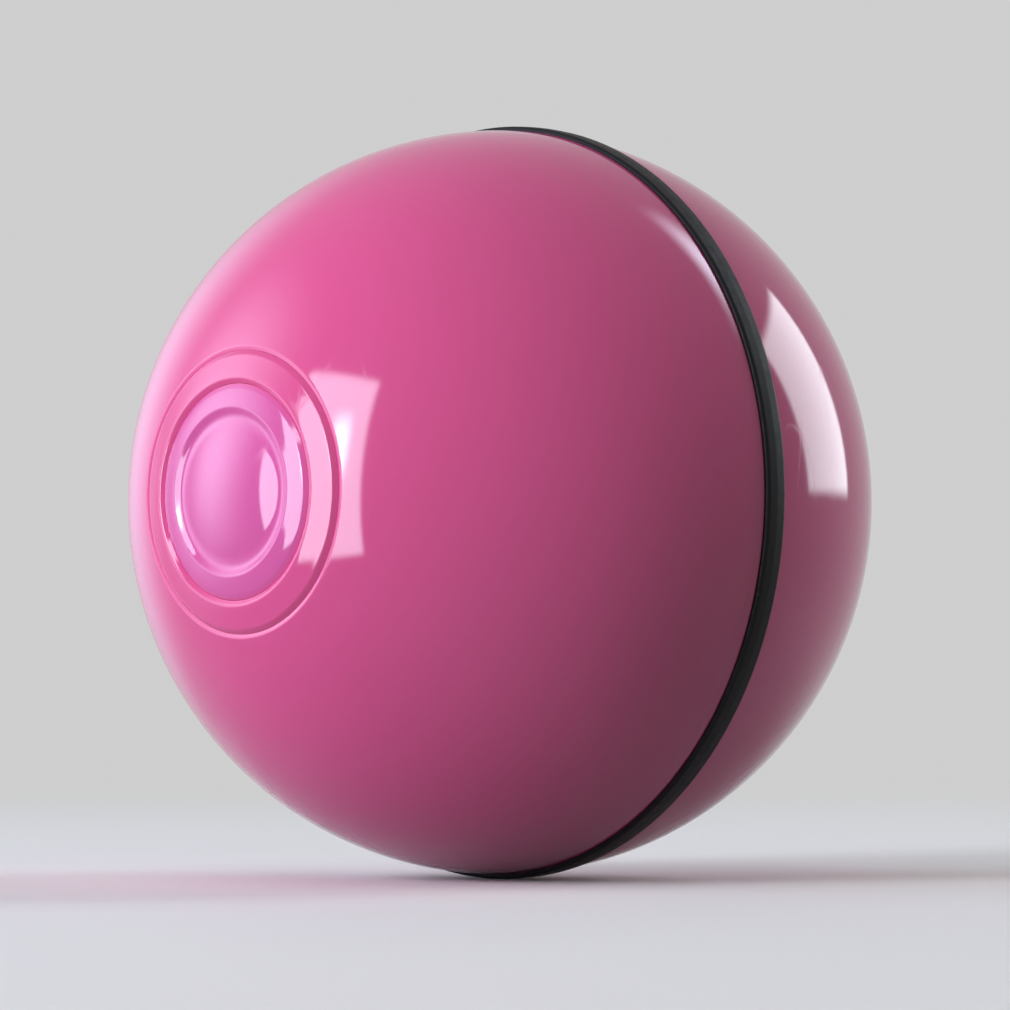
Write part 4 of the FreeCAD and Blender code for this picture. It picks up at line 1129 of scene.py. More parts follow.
@dataclass
class Shells:
    """The two screwed half shells."""

    ball: Ball
    thread: ScrewThread
    neck_bore: float = 27.9
    neck_core: float = 29.1
    neck_end: float = 5.6
    socket: float = 30.0
    socket_end: float = 6.2
    seal_seat_end: float = 2.0
    male_crest: float = 29.8
    female_crest: float = 29.3
    male_from: float = 2.9
    male_rise: float = 2.1
    female_below: float = 1.05
    female_later: float = 21.0
    female_rise: float = 1.6
    rod_hole: float = 1.0
    boss: float = 4.6
    bush_seat: float = 2.62
    bush_from: float = 21.7
    bush_end: float = 24.82
    screw_boss: float = 1.5
    screw_boss_end: float = 28.6
    gloss_from: float = 30.6

    def outside(self, side: int) -> list[Corner]:
        """Corners of the outer wall from the band's seat to the pole's floor.

        Args:
            side: -1 on the left and 1 on the right.

        Returns:
            The corners.
        """
        b = self.ball
        rim = b.pole_hole + OUTER_SEAM.half_width
        corners = [(b.height(b.half_band), b.half_band, 0.10)]
        corners += sphere_arc(b.radius, b.radius * 0.9992, rim + 0.25, 1, 90)
        corners += OUTER_SEAM.flank(b, b.pole_hole, 1) + [(b.pole_hole, b.floor_out, 0.3)]
        return [(r, side * y, q) for r, y, q in corners]

    def masked(self, surface: Surface) -> Surface:
        """Marks points that lie on the glossy outside with 1 and the rest with 0."""
        surface.mask = np.clip((np.linalg.norm(surface.points, axis=1) - self.gloss_from) / 0.6, 0, 1)
        return surface

    def left(self) -> Surface:
        """Left shell.

        Returns:
            The shell with its neck, thread, floor and screw bosses.
        """
        b, hole, bore, core = self.ball, self.rod_hole, self.neck_bore, self.neck_core
        dome = b.inner_height(b.floor_in)
        corners = self.outside(-1) + [
            (hole, -b.floor_out, 0.1), (hole, -b.floor_in, 0.1), (dome, -b.floor_in, 0.4),
            *sphere_arc(b.inner, dome + 0.6, bore - 0.1, -1, 30), (bore, -b.inner_height(bore), 0.0),
            (bore, self.neck_end, 0.25), (core, self.neck_end, 0.35), (core, b.half_band, 0.15),
            (b.band_seat, b.half_band, 0.1), (b.band_seat, -b.half_band, 0.1),
        ]
        shell = self.masked(solid_turned(corners, b.columns, True))
        radii = (core - 0.1, self.male_crest)
        ridges = self.thread.ridges(radii, self.male_from, self.male_rise, 0.0)
        span = (-self.screw_boss_end, -b.floor_out + 0.3)
        bosses = [rod(self.screw_boss, span, 0.25, place) for place in hub_screw_places()]
        return joined([shell] + ridges + bosses)

    def right(self) -> Surface:
        """Right shell.

        Returns:
            The shell with its socket, thread and the boss of the end bush.
        """
        b, socket, ledge, end = self.ball, self.socket, self.seal_seat_end, self.socket_end
        dome, foot, seat = b.inner_height(b.floor_in), b.inner_height(end), self.bush_seat
        corners = [(0, b.floor_out, 0)] + self.outside(1)[::-1] + [
            (b.band_seat, b.half_band, 0.1), (b.band_seat, ledge, 0.1), (socket, ledge, 0.2),
            (socket, end, 0.1), (foot, end, 0.0), *sphere_arc(b.inner, foot - 0.1, dome + 0.6, 1, 30),
            (dome, b.floor_in, 0.4), (self.boss, b.floor_in, 0.4), (self.boss, self.bush_from, 0.3),
            (seat, self.bush_from, 0.15), (seat, self.bush_end, 0.1), (0, self.bush_end, 0),
        ]
        shell = self.masked(solid_turned(corners, b.columns, False))
        low = self.male_from - self.female_below + self.female_later / 360 * self.thread.lead
        radii = (socket + 0.1, self.female_crest)
        return joined([shell] + self.thread.ridges(radii, low, self.female_rise, self.female_later))

    def build(self, wardrobe: Wardrobe) -> None:
        """Makes both shells."""
        wardrobe.wear("left_shell_skin", self.left(), "left_shell")
        wardrobe.wear("right_shell_skin", self.right(), "right_shell")


@dataclass
class Band:
    """Rubber tread round the middle and the seal ring behind it."""

    ball: Ball
    play: float = 0.02
    shoulder: float = 0.32
    crown: float = 0.06
    seal_r: Span = (30.05, 30.95)
    seal_y: Span = (1.14, 1.96)

    def tread(self) -> Surface:
        """Band with round shoulders and a slightly crowned top.

        Returns:
            A closed surface.
        """
        b, q = self.ball, self.shoulder
        low, half, top = b.band_seat + self.play, b.half_band - self.play, b.band_top
        side = top - self.crown
        corners = [(low, -half, 0.1), (side, -half, q), (top, 0, 2.0), (side, half, q), (low, half, 0.1)]
        return solid_turned(corners, b.columns, True)

    def build(self, wardrobe: Wardrobe) -> None:
        """Makes the tread and the seal.

        Args:
            wardrobe: what dresses them.
        """
        wardrobe.wear("tread", self.tread(), "tread_band", sharp=False)
        seal = turned(box_outline(self.seal_r, self.seal_y, 0.3), 192, True)
        wardrobe.wear("seal", seal, "seal_ring", sharp=False)


@dataclass
class PoleCaps:
    """Bezel, push button and the fixed cap, with their moulded rings."""

    ball: Ball
    bezel_out: float = 11.675
    bezel_in: float = 8.925
    bezel_pocket: float = 10.1
    bezel_lip: float = 29.0
    button: float = 8.905
    flange: float = 9.8
    flange_y: Span = (28.9, 28.1)
    skirt: float = 7.4
    socket: float = 2.2
    socket_foot: float = 28.5
    under: float = 30.0
    cap_under: float = 28.4
    rod: float = 0.8
    top: float = 31.765
    pillow: float = 17.5
    pillow_edge: float = 5.6
    ring: tuple[Place, ...] = ((7.25, -0.06), (7.65, -0.162), (8.05, -0.282), (8.35, -0.388))

    def face(self, seam: float) -> list[Corner]:
        """Corners of the domed face from the axle to its outer seam.

        Formula: the disc is a pillow, y = top - (c - sqrt(c^2 - r^2)) with its own radius c. A soft
        dip parts it from the outer ring, whose slope grows from 12 to 22 degrees.

        Args:
            seam: radius of the seam.

        Returns:
            The corners.
        """
        crest = self.top - (self.pillow - math.sqrt(self.pillow ** 2 - self.pillow_edge ** 2)) + 0.17
        disc = sphere_arc(self.pillow, self.pillow_edge, 0.0, 1, 24)[::-1]
        return [(r, y + self.top - self.pillow, q) for r, y, q in disc] + [
            (6.25, crest - 0.3, 0.9), (6.95, crest + 0.02, 0.6), *((r, crest + d, 0.0) for r, d in self.ring),
            (seam - INNER_SEAM.half_width, crest - 0.44, INNER_SEAM.shoulder),
            (seam, crest - 0.44 - INNER_SEAM.depth, 0.03),
        ]

    def flipped(self, corners: list[Corner]) -> list[Corner]:
        """Corners on the other side of the middle plane."""
        return [(r, -y, q) for r, y, q in corners]

    def bezel_face(self, seam: float) -> list[Corner]:
        """Corners of the ring between the two seams, slightly more domed than the ball.

        Args:
            seam: radius of the inner seam.

        Returns:
            The corners.
        """
        b, start = self.ball, seam + INNER_SEAM.half_width
        middle = [(r, b.height(r) - 0.01, 0.0) for r in np.linspace(seam + 0.75, self.bezel_out - 0.65, 6)]
        edge = [(seam, self.face(seam)[-1][1], 0.03), (start, b.height(start) - 0.02, INNER_SEAM.shoulder)]
        return edge + middle + OUTER_SEAM.flank(b, self.bezel_out, -1)

    def bezel(self) -> Surface:
        """Ring between the shell and the button.

        Returns:
            A closed surface.
        """
        foot, wall, lip = self.ball.floor_out, self.bezel_pocket, self.bezel_lip
        corners = self.bezel_face(self.bezel_in) + [
            (self.bezel_out, foot, 0.15), (wall, foot, 0.1), (wall, lip, 0.1), (self.bezel_in, lip, 0.1),
        ]
        return solid_turned(self.flipped(corners), self.ball.columns, True).marked(1.0)

    def push_button(self) -> Surface:
        """Domed button with its flange and the socket of the rod.

        Returns:
            A closed surface.
        """
        (top, foot), wide, skirt, under = self.flange_y, self.flange, self.skirt, self.under
        corners = self.face(self.button) + [
            (self.button, top, 0.1), (wide, top, 0.1), (wide, foot, 0.15), (skirt, foot, 0.15),
            (skirt, under - 0.65, 0.3), (skirt - 0.65, under, 0.3), (self.socket, under, 0.2),
            (self.socket, self.socket_foot, 0.15), (self.rod, self.socket_foot, 0.05), (self.rod, under, 0.0),
            (0.0, under, 0.0),
        ]
        return solid_turned(self.flipped(corners), self.ball.columns, False).marked(1.0)

    def fixed_cap(self) -> Surface:
        """Cap of the right pole, whose rings are grooves in one piece.

        Returns:
            A closed surface.
        """
        seam, foot = (self.button + self.bezel_in) / 2, self.ball.floor_out
        wall, under = self.bezel_pocket, self.cap_under
        corners = self.face(seam) + self.bezel_face(seam)[1:] + [
            (self.bezel_out, foot, 0.15), (wall, foot, 0.1), (wall, under, 0.1), (0.0, under, 0.0),
        ]
        return solid_turned(corners, self.ball.columns, False).marked(1.0)

    def build(self, wardrobe: Wardrobe) -> None:
        """Makes the three pole pieces.

        Args:
            wardrobe: what dresses them.
        """
        wardrobe.wear("bezel", self.bezel(), "pole_bezel")
        wardrobe.wear("push_button", self.push_button(), "button_cap")
        wardrobe.wear("fixed_pole_cap", self.fixed_cap(), "right_pole_cap")


# Screws

@dataclass(frozen=True)
class Screw:
    """Pan-headed screw with a cross recess and a thread for plastic."""

    shank: float = 0.8
    head: float = 1.6
    height: float = 1.0
    pitch: float = 0.55

    def head_surface(self) -> Surface:
        """Pan head with its underside at y = 0.

        Formula: the outline is turned about the axle, and the recess sinks its top by
        d max(B(u, v), B(v, u)), with B(u, v) = S(w - |u|) S(l - |v|) and S a smooth step.

        Returns:
            The head.
        """
        head, high = self.head, self.height
        corners = [(r, -high + 0.10 * (r / head) ** 2, 0.0) for r in np.linspace(0, head * 0.66, 15)] + [
            (head * 0.94, -high + 0.16, head * 0.22), (head, -high * 0.3, 0.2), (head, 0.0, 0.05),
            (0.0, 0.0, 0.0),
        ]
        surface = solid_turned(corners, 64, False)
        u, v = np.abs(surface.points[:, 0]), np.abs(surface.points[:, 2])
        narrow, long, soft = head * 0.13, head * 0.52, 0.07
        across = np.clip((narrow - u) / soft + 0.5, 0, 1) * np.clip((long - v) / soft + 0.5, 0, 1)
        along = np.clip((narrow - v) / soft + 0.5, 0, 1) * np.clip((long - u) / soft + 0.5, 0, 1)
        on_top = surface.points[:, 1] < -high * 0.75
        surface.points[:, 1] += on_top * high * 0.5 * np.maximum(across, along)
        return surface

    def shank_surface(self, length: float) -> Surface:
        """Threaded shank with a blunt tip.

        Formula: r(t, y) = r0 (0.8 + 0.2 T(y / p - t / 2 pi)), with T a sharp periodic ridge, and r
        falls to a third over the tip.

        Args:
            length: from the head to the tip.

        Returns:
            The shank.
        """
        rows = int(length / self.pitch * 7)
        y = np.linspace(0.0, length, rows)[:, None]
        t = np.linspace(0, 2 * math.pi, 24, endpoint=False)[None, :]
        phase = (y / self.pitch - t / (2 * math.pi)) % 1.0
        ridge = np.clip(1 - 3.2 * np.abs(phase - 0.5), 0, 1)
        tip = np.clip((length - y) / (self.shank * 1.4), 0, 1)
        r = self.shank * (0.80 + 0.19 * ridge * (y > 0.4)) * (0.35 + 0.65 * np.sqrt(tip))
        return lofted(np.stack([r * np.cos(t), y + 0 * t, r * np.sin(t)], -1))

    def surface(self, seat: Point, way: Point, length: float) -> Surface:
        """Whole screw, its head's underside at the seat and its shank along the way."""
        return joined([self.head_surface(), self.shank_surface(length)]).placed(seat, way)


SCREW = Screw()
SMALL_SCREW = Screw(0.6, 1.3, 0.8, 0.45)
UP, DOWN, LEFT, RIGHT = (0, 0, 1), (0, 0, -1), (0, -1, 0), (0, 1, 0)


# Button spring, rod and bearings on the axle

@dataclass
class Axle:
    """What lies on the rolling axle between the two poles."""

    rod_r: float = 0.8
    rod_y: Span = (-30.0, -14.35)
    spring_r: float = 3.4
    wire_r: float = 0.22
    spring_y: Span = (-29.76, -27.44)
    spring_turns: float = 2.5
    press: float = 0.5
    clip_y: Span = (-18.23, -17.67)
    clip_r: Span = (1.92, 3.3)
    clip_mouth: float = 46.0
    bush_y: Span = (-20.4, -18.45)
    bush_r: float = 3.2
    bush_bore: float = 2.25
    bush_flange: Place = (4.0, 0.5)
    pin_r: float = 1.5
    pin_y: Span = (15.6, 24.6)
    collar_r: float = 3.0
    collar_y: Span = (16.6, 18.4)
    end_bush_y: Span = (21.7, 24.8)
    end_bush_r: float = 2.6
    end_bush_bore: float = 1.55
    end_bush_flange: Place = (3.8, 0.6)

    def spring(self) -> Surface:
        """Compression spring of round wire.

        Formula: x = r cos(2 pi n s), z = -r sin(2 pi n s), and y climbs with s - k sin(2 pi s), so
        that the end turns lie flatter than the middle ones.

        Returns:
            A closed surface.
        """
        s = np.linspace(0, 1, 260)
        t = 2 * math.pi * self.spring_turns * s
        low, high = self.spring_y
        y = low + (high - low) * (s - 0.055 * np.sin(2 * math.pi * s))
        path = np.stack([self.spring_r * np.cos(t), y, -self.spring_r * np.sin(t)], -1)
        out = np.stack([np.cos(t), 0 * t, -np.sin(t)], -1)
        return swept(path, out, circle(self.wire_r, 14))

    def clip(self) -> Surface:
        """Open retaining ring with eyes at its mouth.

        Returns:
            The ring and its two eyes.
        """
        ring = box_outline(self.clip_r, self.clip_y, 0.12)
        start, sweep = 90 + self.clip_mouth, 360 - 2 * self.clip_mouth
        reach = np.radians([start, start + sweep])
        middle = sum(self.clip_r) / 2
        eyes = [rod(0.6, self.clip_y, 0.1, (middle * math.cos(a), middle * math.sin(a))) for a in reach]
        return joined([arched(ring, start, sweep, 90)] + eyes)

    def flanged(self, bore: float, outer: float, span: Span, flange: Place) -> Surface:
        """Plain bush with a flange on its low side and an eased bore.

        Args:
            bore: radius of the hole.
            outer: radius of the sleeve.
            span: heights of the sleeve along the axle.
            flange: radius and thickness of the flange.

        Returns:
            A closed surface.
        """
        low = span[0] - flange[1]
        corners = [
            (bore, low, 0.15), (flange[0], low, 0.12), (flange[0], span[0], 0.08), (outer, span[0], 0.1),
            (outer, span[1], 0.25), (bore, span[1], 0.15),
        ]
        return solid_turned(corners, 96, True)

    def pin(self) -> Surface:
        """Pivot pin with its collar and eased ends.

        Returns:
            A closed surface.
        """
        (low, high), (foot, top), thin, thick = self.pin_y, self.collar_y, self.pin_r, self.collar_r
        corners = [
            (0, low, 0), (thin, low, 0.25), (thin, foot, 0.1), (thick, foot, 0.2), (thick, top, 0.2),
            (thin, top, 0.1), (thin, high, 0.3), (0, high, 0),
        ]
        return solid_turned(corners, 64, False)

    def build(self, wardrobe: Wardrobe) -> None:
        """Makes the rod, spring, clip, bushes and pin, the spring with a mesh of its own.

        Args:
            wardrobe: what dresses them.
        """
        wardrobe.wear("rod", rod(self.rod_r, self.rod_y, 0.2), "push_rod")
        spring = wardrobe.wear("return_spring", self.spring(), "button_spring")
        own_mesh(spring)
        wardrobe.wear("retaining_ring", self.clip(), "hub_clip")
        bush = self.flanged(self.bush_bore, self.bush_r, self.bush_y, self.bush_flange)
        wardrobe.wear("journal_bush", bush, "left_bush")
        bush = self.flanged(self.end_bush_bore, self.end_bush_r, self.end_bush_y, self.end_bush_flange)
        wardrobe.wear("end_bush", bush, "right_bush")
        wardrobe.wear("collared_pin", self.pin(), "pivot_pin")


# Gears

@dataclass
class GearTrain:
    """Four stages of one module from the motor to the gear that is fixed in the left shell."""

    module: float = 0.4
    pressure: float = math.radians(20)
    play: float = 0.02
    pinion_teeth: int = 10
    first_teeth: int = 36
    output_teeth: int = 34
    hub_teeth: int = 44
    shift: float = 0.4
    pinion_tip: float = 1.2
    wheel_tip: float = 0.6
    root_depth: float = 1.25
    output_drop: float = 8.0
    first_slope: float = math.radians(-8)
    hub_y: Span = (-25.6, -22.9)
    shoulder: Place = (3.2, -21.1)
    journal: Place = (2.2, -17.3)
    groove: Corner = (1.9, -18.25, -17.65)
    hub_bore: float = 0.95
    hub_channel: Corner = (4.0, 7.6, 7.75)
    screw_seat: float = -24.1
    screw_end: float = 28.3
    first_wheel_y: Span = (-16.2, -14.7)
    first_pinion_y: Span = (-18.3, -16.2)
    output_wheel_y: Span = (-18.2, -16.7)
    drive_pinion_y: Span = (-25.1, -22.9)
    motor_pinion_y: Span = (-16.6, -14.5)
    pin_r: float = 0.5
    pin_y: Span = (-20.0, -13.2)
    shaft_r: float = 0.75
    shaft_y: Span = (-25.1, -13.2)

    def pitch(self, teeth: int) -> float:
        """Pitch radius."""
        return self.module * teeth / 2

    def reach(self, teeth: int) -> float:
        """Distance between a wheel's centre and its pinion's."""
        return self.pitch(teeth) + self.pitch(self.pinion_teeth)

    def centres(self) -> tuple[Place, Place, Place]:
        """Centres of the turning parts.

        Returns:
            (x, z) of the output shaft, the first gear and the motor.
        """
        drop = self.output_drop
        output = (-math.sqrt(self.reach(self.hub_teeth) ** 2 - drop ** 2), -drop)
        step = self.reach(self.output_teeth)
        first = (output[0] + step * math.cos(self.first_slope), output[1] + step * math.sin(self.first_slope))
        return output, first, (first[0] + self.reach(self.first_teeth), first[1])

    def meshing(self, teeth: int, centre: Place, partner: Place) -> float:
        """Phase of a pinion whose gap takes the tooth that it meets of its wheel.

        Args:
            teeth: teeth of the wheel.
            centre: (x, z) of the wheel.
            partner: (x, z) of the pinion.

        Returns:
            Angle of the pinion's first tooth.
        """
        way = math.atan2(partner[1] - centre[1], partner[0] - centre[0])
        past = way * teeth / (2 * math.pi) % 1
        return way + math.pi + (past + 0.5) * 2 * math.pi / self.pinion_teeth

    def outline(self, teeth: int, shift: float, tip: float, centre: Place, phase: float) -> Array:
        """Toothed outline.

        Formula: at radius r a tooth covers the angle s - inv(acos(b / r)) to each side of its
        middle, with b the base circle's radius, inv(a) = tan(a) - a, and s set by its thickness.

        Args:
            teeth: number of teeth.
            shift: profile shift, in modules.
            tip: height of the tip over the pitch circle, in modules.
            centre: (x, z) of the gear.
            phase: angle of the first tooth.

        Returns:
            A closed outline (x, z).
        """
        pitch = self.pitch(teeth)
        base = pitch * math.cos(self.pressure)
        root, crest = pitch - (self.root_depth - shift) * self.module, pitch + tip * self.module
        r = root + (crest - root) * np.array([0.0, 0.12, 0.3, 0.5, 0.7, 0.86, 0.95, 1.0])
        lean = np.arccos(np.minimum(1.0, base / r))
        middle = (math.pi / 2 + 2 * shift * math.tan(self.pressure)) / teeth - self.play / pitch
        half = middle + math.tan(self.pressure) - self.pressure - (np.tan(lean) - lean)
        fillet = 0.10 * self.module / root
        half[0] += fillet
        half[-1] -= 0.25 * fillet
        radius = np.concatenate([[root], r, r[::-1]])
        offset = np.concatenate([[-math.pi / teeth], -half, half[::-1]])
        angle = phase + np.arange(teeth)[:, None] * 2 * math.pi / teeth + offset
        x, z = centre[0] + radius * np.cos(angle), centre[1] + radius * np.sin(angle)
        return np.stack([x, z], -1).reshape(-1, 2)

    def wheel(self, teeth: int, centre: Place, span: Span, bore: float) -> Surface:
        """Moulded wheel: a toothed rim with a thinner web and a hub.

        Args:
            teeth: number of teeth.
            centre: (x, z) of the wheel.
            span: heights of its faces along the axle.
            bore: radius of its hole.

        Returns:
            A closed surface.
        """
        rim_r = self.pitch(teeth) - 2.7 * self.module
        outline = self.outline(teeth, -self.shift, self.wheel_tip, centre, 0.0)
        rim = plate([outline, circle(rim_r, 96, centre)], span, 0.06)
        low, high = span[0] + 0.28, span[1] - 0.28
        hub, foot, out = bore + 1.0, bore + 1.15, rim_r + 0.15
        web = [
            (bore, span[0], 0.05), (hub, span[0], 0.12), (foot, low, 0.15), (out, low, 0.0), (out, high, 0.0),
            (foot, high, 0.15), (hub, span[1], 0.12), (bore, span[1], 0.05),
        ]
        return joined([rim, solid_turned(web, 96, True, centre)])

    def pinion(self, centre: Place, span: Span, phase: float, bore: float) -> Surface:
        """Pinion with a plain bore."""
        outline = self.outline(self.pinion_teeth, self.shift, self.pinion_tip, centre, phase)
        return plate([outline, circle(bore, 32, centre)], span, 0.08)

    def hub(self) -> Surface:
        """Hub gear: toothed rim, channel for the screws' heads, shoulder and grooved journal.

        Returns:
            A closed surface.
        """
        bore, seat, (low, high) = self.hub_bore, self.screw_seat, self.hub_y
        near, far, rim_r = self.hub_channel
        outline = self.outline(self.hub_teeth, -self.shift, self.wheel_tip, (0.0, 0.0), 0.0)
        rim = plate([outline, circle(rim_r, 128)], self.hub_y, 0.08)
        (wide, step), (thin, end), (deep, foot, top) = self.shoulder, self.journal, self.groove
        core = [
            (bore, low, 0.05), (rim_r + 0.1, low, 0.0), (rim_r + 0.1, high - 0.05, 0.0),
            (far, high - 0.05, 0.1), (far - 0.05, seat, 0.2), (near + 0.05, seat, 0.2), (near, high, 0.15),
            (wide, high, 0.1), (wide, step, 0.1), (thin, step, 0.1), (thin, foot, 0.03), (deep, foot, 0.03),
            (deep, top, 0.03), (thin, top, 0.03), (thin, end, 0.15), (bore, end, 0.05),
        ]
        return joined([rim, solid_turned(core, 128, True)])

    def build(self, wardrobe: Wardrobe) -> None:
        """Makes all gears, their pin and shaft, and the screws of the hub gear.

        Args:
            wardrobe: what dresses them.
        """
        output, first, motor = self.centres()
        wardrobe.wear("axle_gear", self.hub(), "hub_gear")
        length = self.screw_end + self.screw_seat - 0.02
        screws = [SCREW.surface((x, self.screw_seat, z), LEFT, length) for x, z in hub_screw_places()]
        wardrobe.wear("axle_gear_screws", joined(screws), "hub_screws")
        big = self.wheel(self.first_teeth, first, self.first_wheel_y, self.pin_r + 0.03)
        phase = self.meshing(self.output_teeth, output, first)
        small = self.pinion(first, self.first_pinion_y, phase, self.pin_r + 0.03)
        wardrobe.wear("compound_gear", joined([big, small]), "first_gear")
        wheel = self.wheel(self.output_teeth, output, self.output_wheel_y, self.shaft_r)
        wardrobe.wear("slow_wheel", wheel, "output_wheel")
        phase = self.meshing(self.hub_teeth, (0.0, 0.0), output)
        drive = self.pinion(output, self.drive_pinion_y, phase, self.shaft_r)
        wardrobe.wear("brass_drive_pinion", drive, "drive_pinion")
        phase = self.meshing(self.first_teeth, first, motor)
        quick = self.pinion(motor, self.motor_pinion_y, phase, 0.5)
        wardrobe.wear("brass_motor_pinion", quick, "motor_pinion")
        wardrobe.wear("slow_shaft", rod(self.shaft_r, self.shaft_y, 0.15, output), "output_shaft")
        wardrobe.wear("compound_gear_pin", rod(self.pin_r, self.pin_y, 0.12, first), "gear_pin")


# Small shapes that several pieces share

def soft_box(middle: Point, half: Point, power: float, ends: float, columns: int) -> Surface:
    """Box with soft edges, long along the axle.

    Formula: x = a w(s) C(t), z = c w(s) S(t) and y = b S2(s), with C and S the cosine and sine raised
    to 2 / power with their signs, S2 and w the same raised to 2 / ends.

    Args:
        middle: its middle.
        half: half its size along x, y and z.
        power: squareness of its section, 2 for an ellipse.
        ends: squareness of its ends.
        columns: points round a section.

    Returns:
        A closed surface.
    """
    t = np.linspace(0, 2 * math.pi, columns, endpoint=False)[None, :]
    s = np.linspace(-0.5, 0.5, 25)[:, None]
    s = math.pi / 2 * np.sign(s) * (1 - (1 - 2 * np.abs(s)) ** 1.6) * 0.999
    width, y = np.cos(s) ** (2 / ends), np.sign(s) * np.abs(np.sin(s)) ** (2 / ends)
    u = np.sign(np.cos(t)) * np.abs(np.cos(t)) ** (2 / power)
    v = np.sign(np.sin(t)) * np.abs(np.sin(t)) ** (2 / power)
    rows = np.stack([half[0] * width * u, half[1] * y + 0 * t, half[2] * width * v], -1)
    return lofted(rows + np.array(middle, float))


def boxes(lows: Array, highs: Array) -> Surface:
    """Plain boxes, all at once.

    Args:
        lows: (n, 3) lowest corners.
        highs: (n, 3) highest corners.

    Returns:
        One surface.
    """
    pick = np.array([[0, 0, 0], [1, 0, 0], [1, 1, 0], [0, 1, 0], [0, 0, 1], [1, 0, 1], [1, 1, 1], [0, 1, 1]])
    faces = np.array([[0, 3, 2, 1], [4, 5, 6, 7], [0, 1, 5, 4], [1, 2, 6, 5], [2, 3, 7, 6], [3, 0, 4, 7]])
    points = np.where(pick[None], highs[:, None], lows[:, None]).reshape(-1, 3)
    return Surface(points, [(faces[None] + 8 * np.arange(len(lows))[:, None, None]).reshape(-1, 4)])


def post(radius: float, feet: Union[float, Array], pilot: float, depth: float, draft: float = 0.0) -> Surface:
    """Screw post with its top at the origin, going down -Y, with a blind pilot hole.

    Formula: circles of radius r + draft d at the depth d, the lowest following the feet, then the
    eased rim and the circles of the hole.

    Args:
        radius: at the top.
        feet: depth of its foot, one value or one for each of the 48 points round it.
        pilot: radius of the hole.
        depth: depth of the hole.
        draft: widening per millimetre of depth.

    Returns:
        A closed surface.
    """
    t = np.linspace(0, 2 * math.pi, 48, endpoint=False)
    rings = [(radius, 0.15), (radius - 0.15, 0.0), (pilot + 0.15, 0.0), (pilot, 0.15), (pilot, depth)]
    r = np.stack([radius + draft * feet + 0 * t] + [ring[0] + 0 * t for ring in rings])
    y = -np.stack([feet + 0 * t] + [ring[1] + 0 * t for ring in rings])
    return lofted(np.stack([r * np.cos(t), y, r * np.sin(t)], -1))


def ring_at(place: Place, radii: Span, span: Span, edge: float = 0.1) -> Surface:
    """Plain ring about a line along the axle."""
    return turned(box_outline(radii, span, edge, 3), 48, True, place)


# Carriage

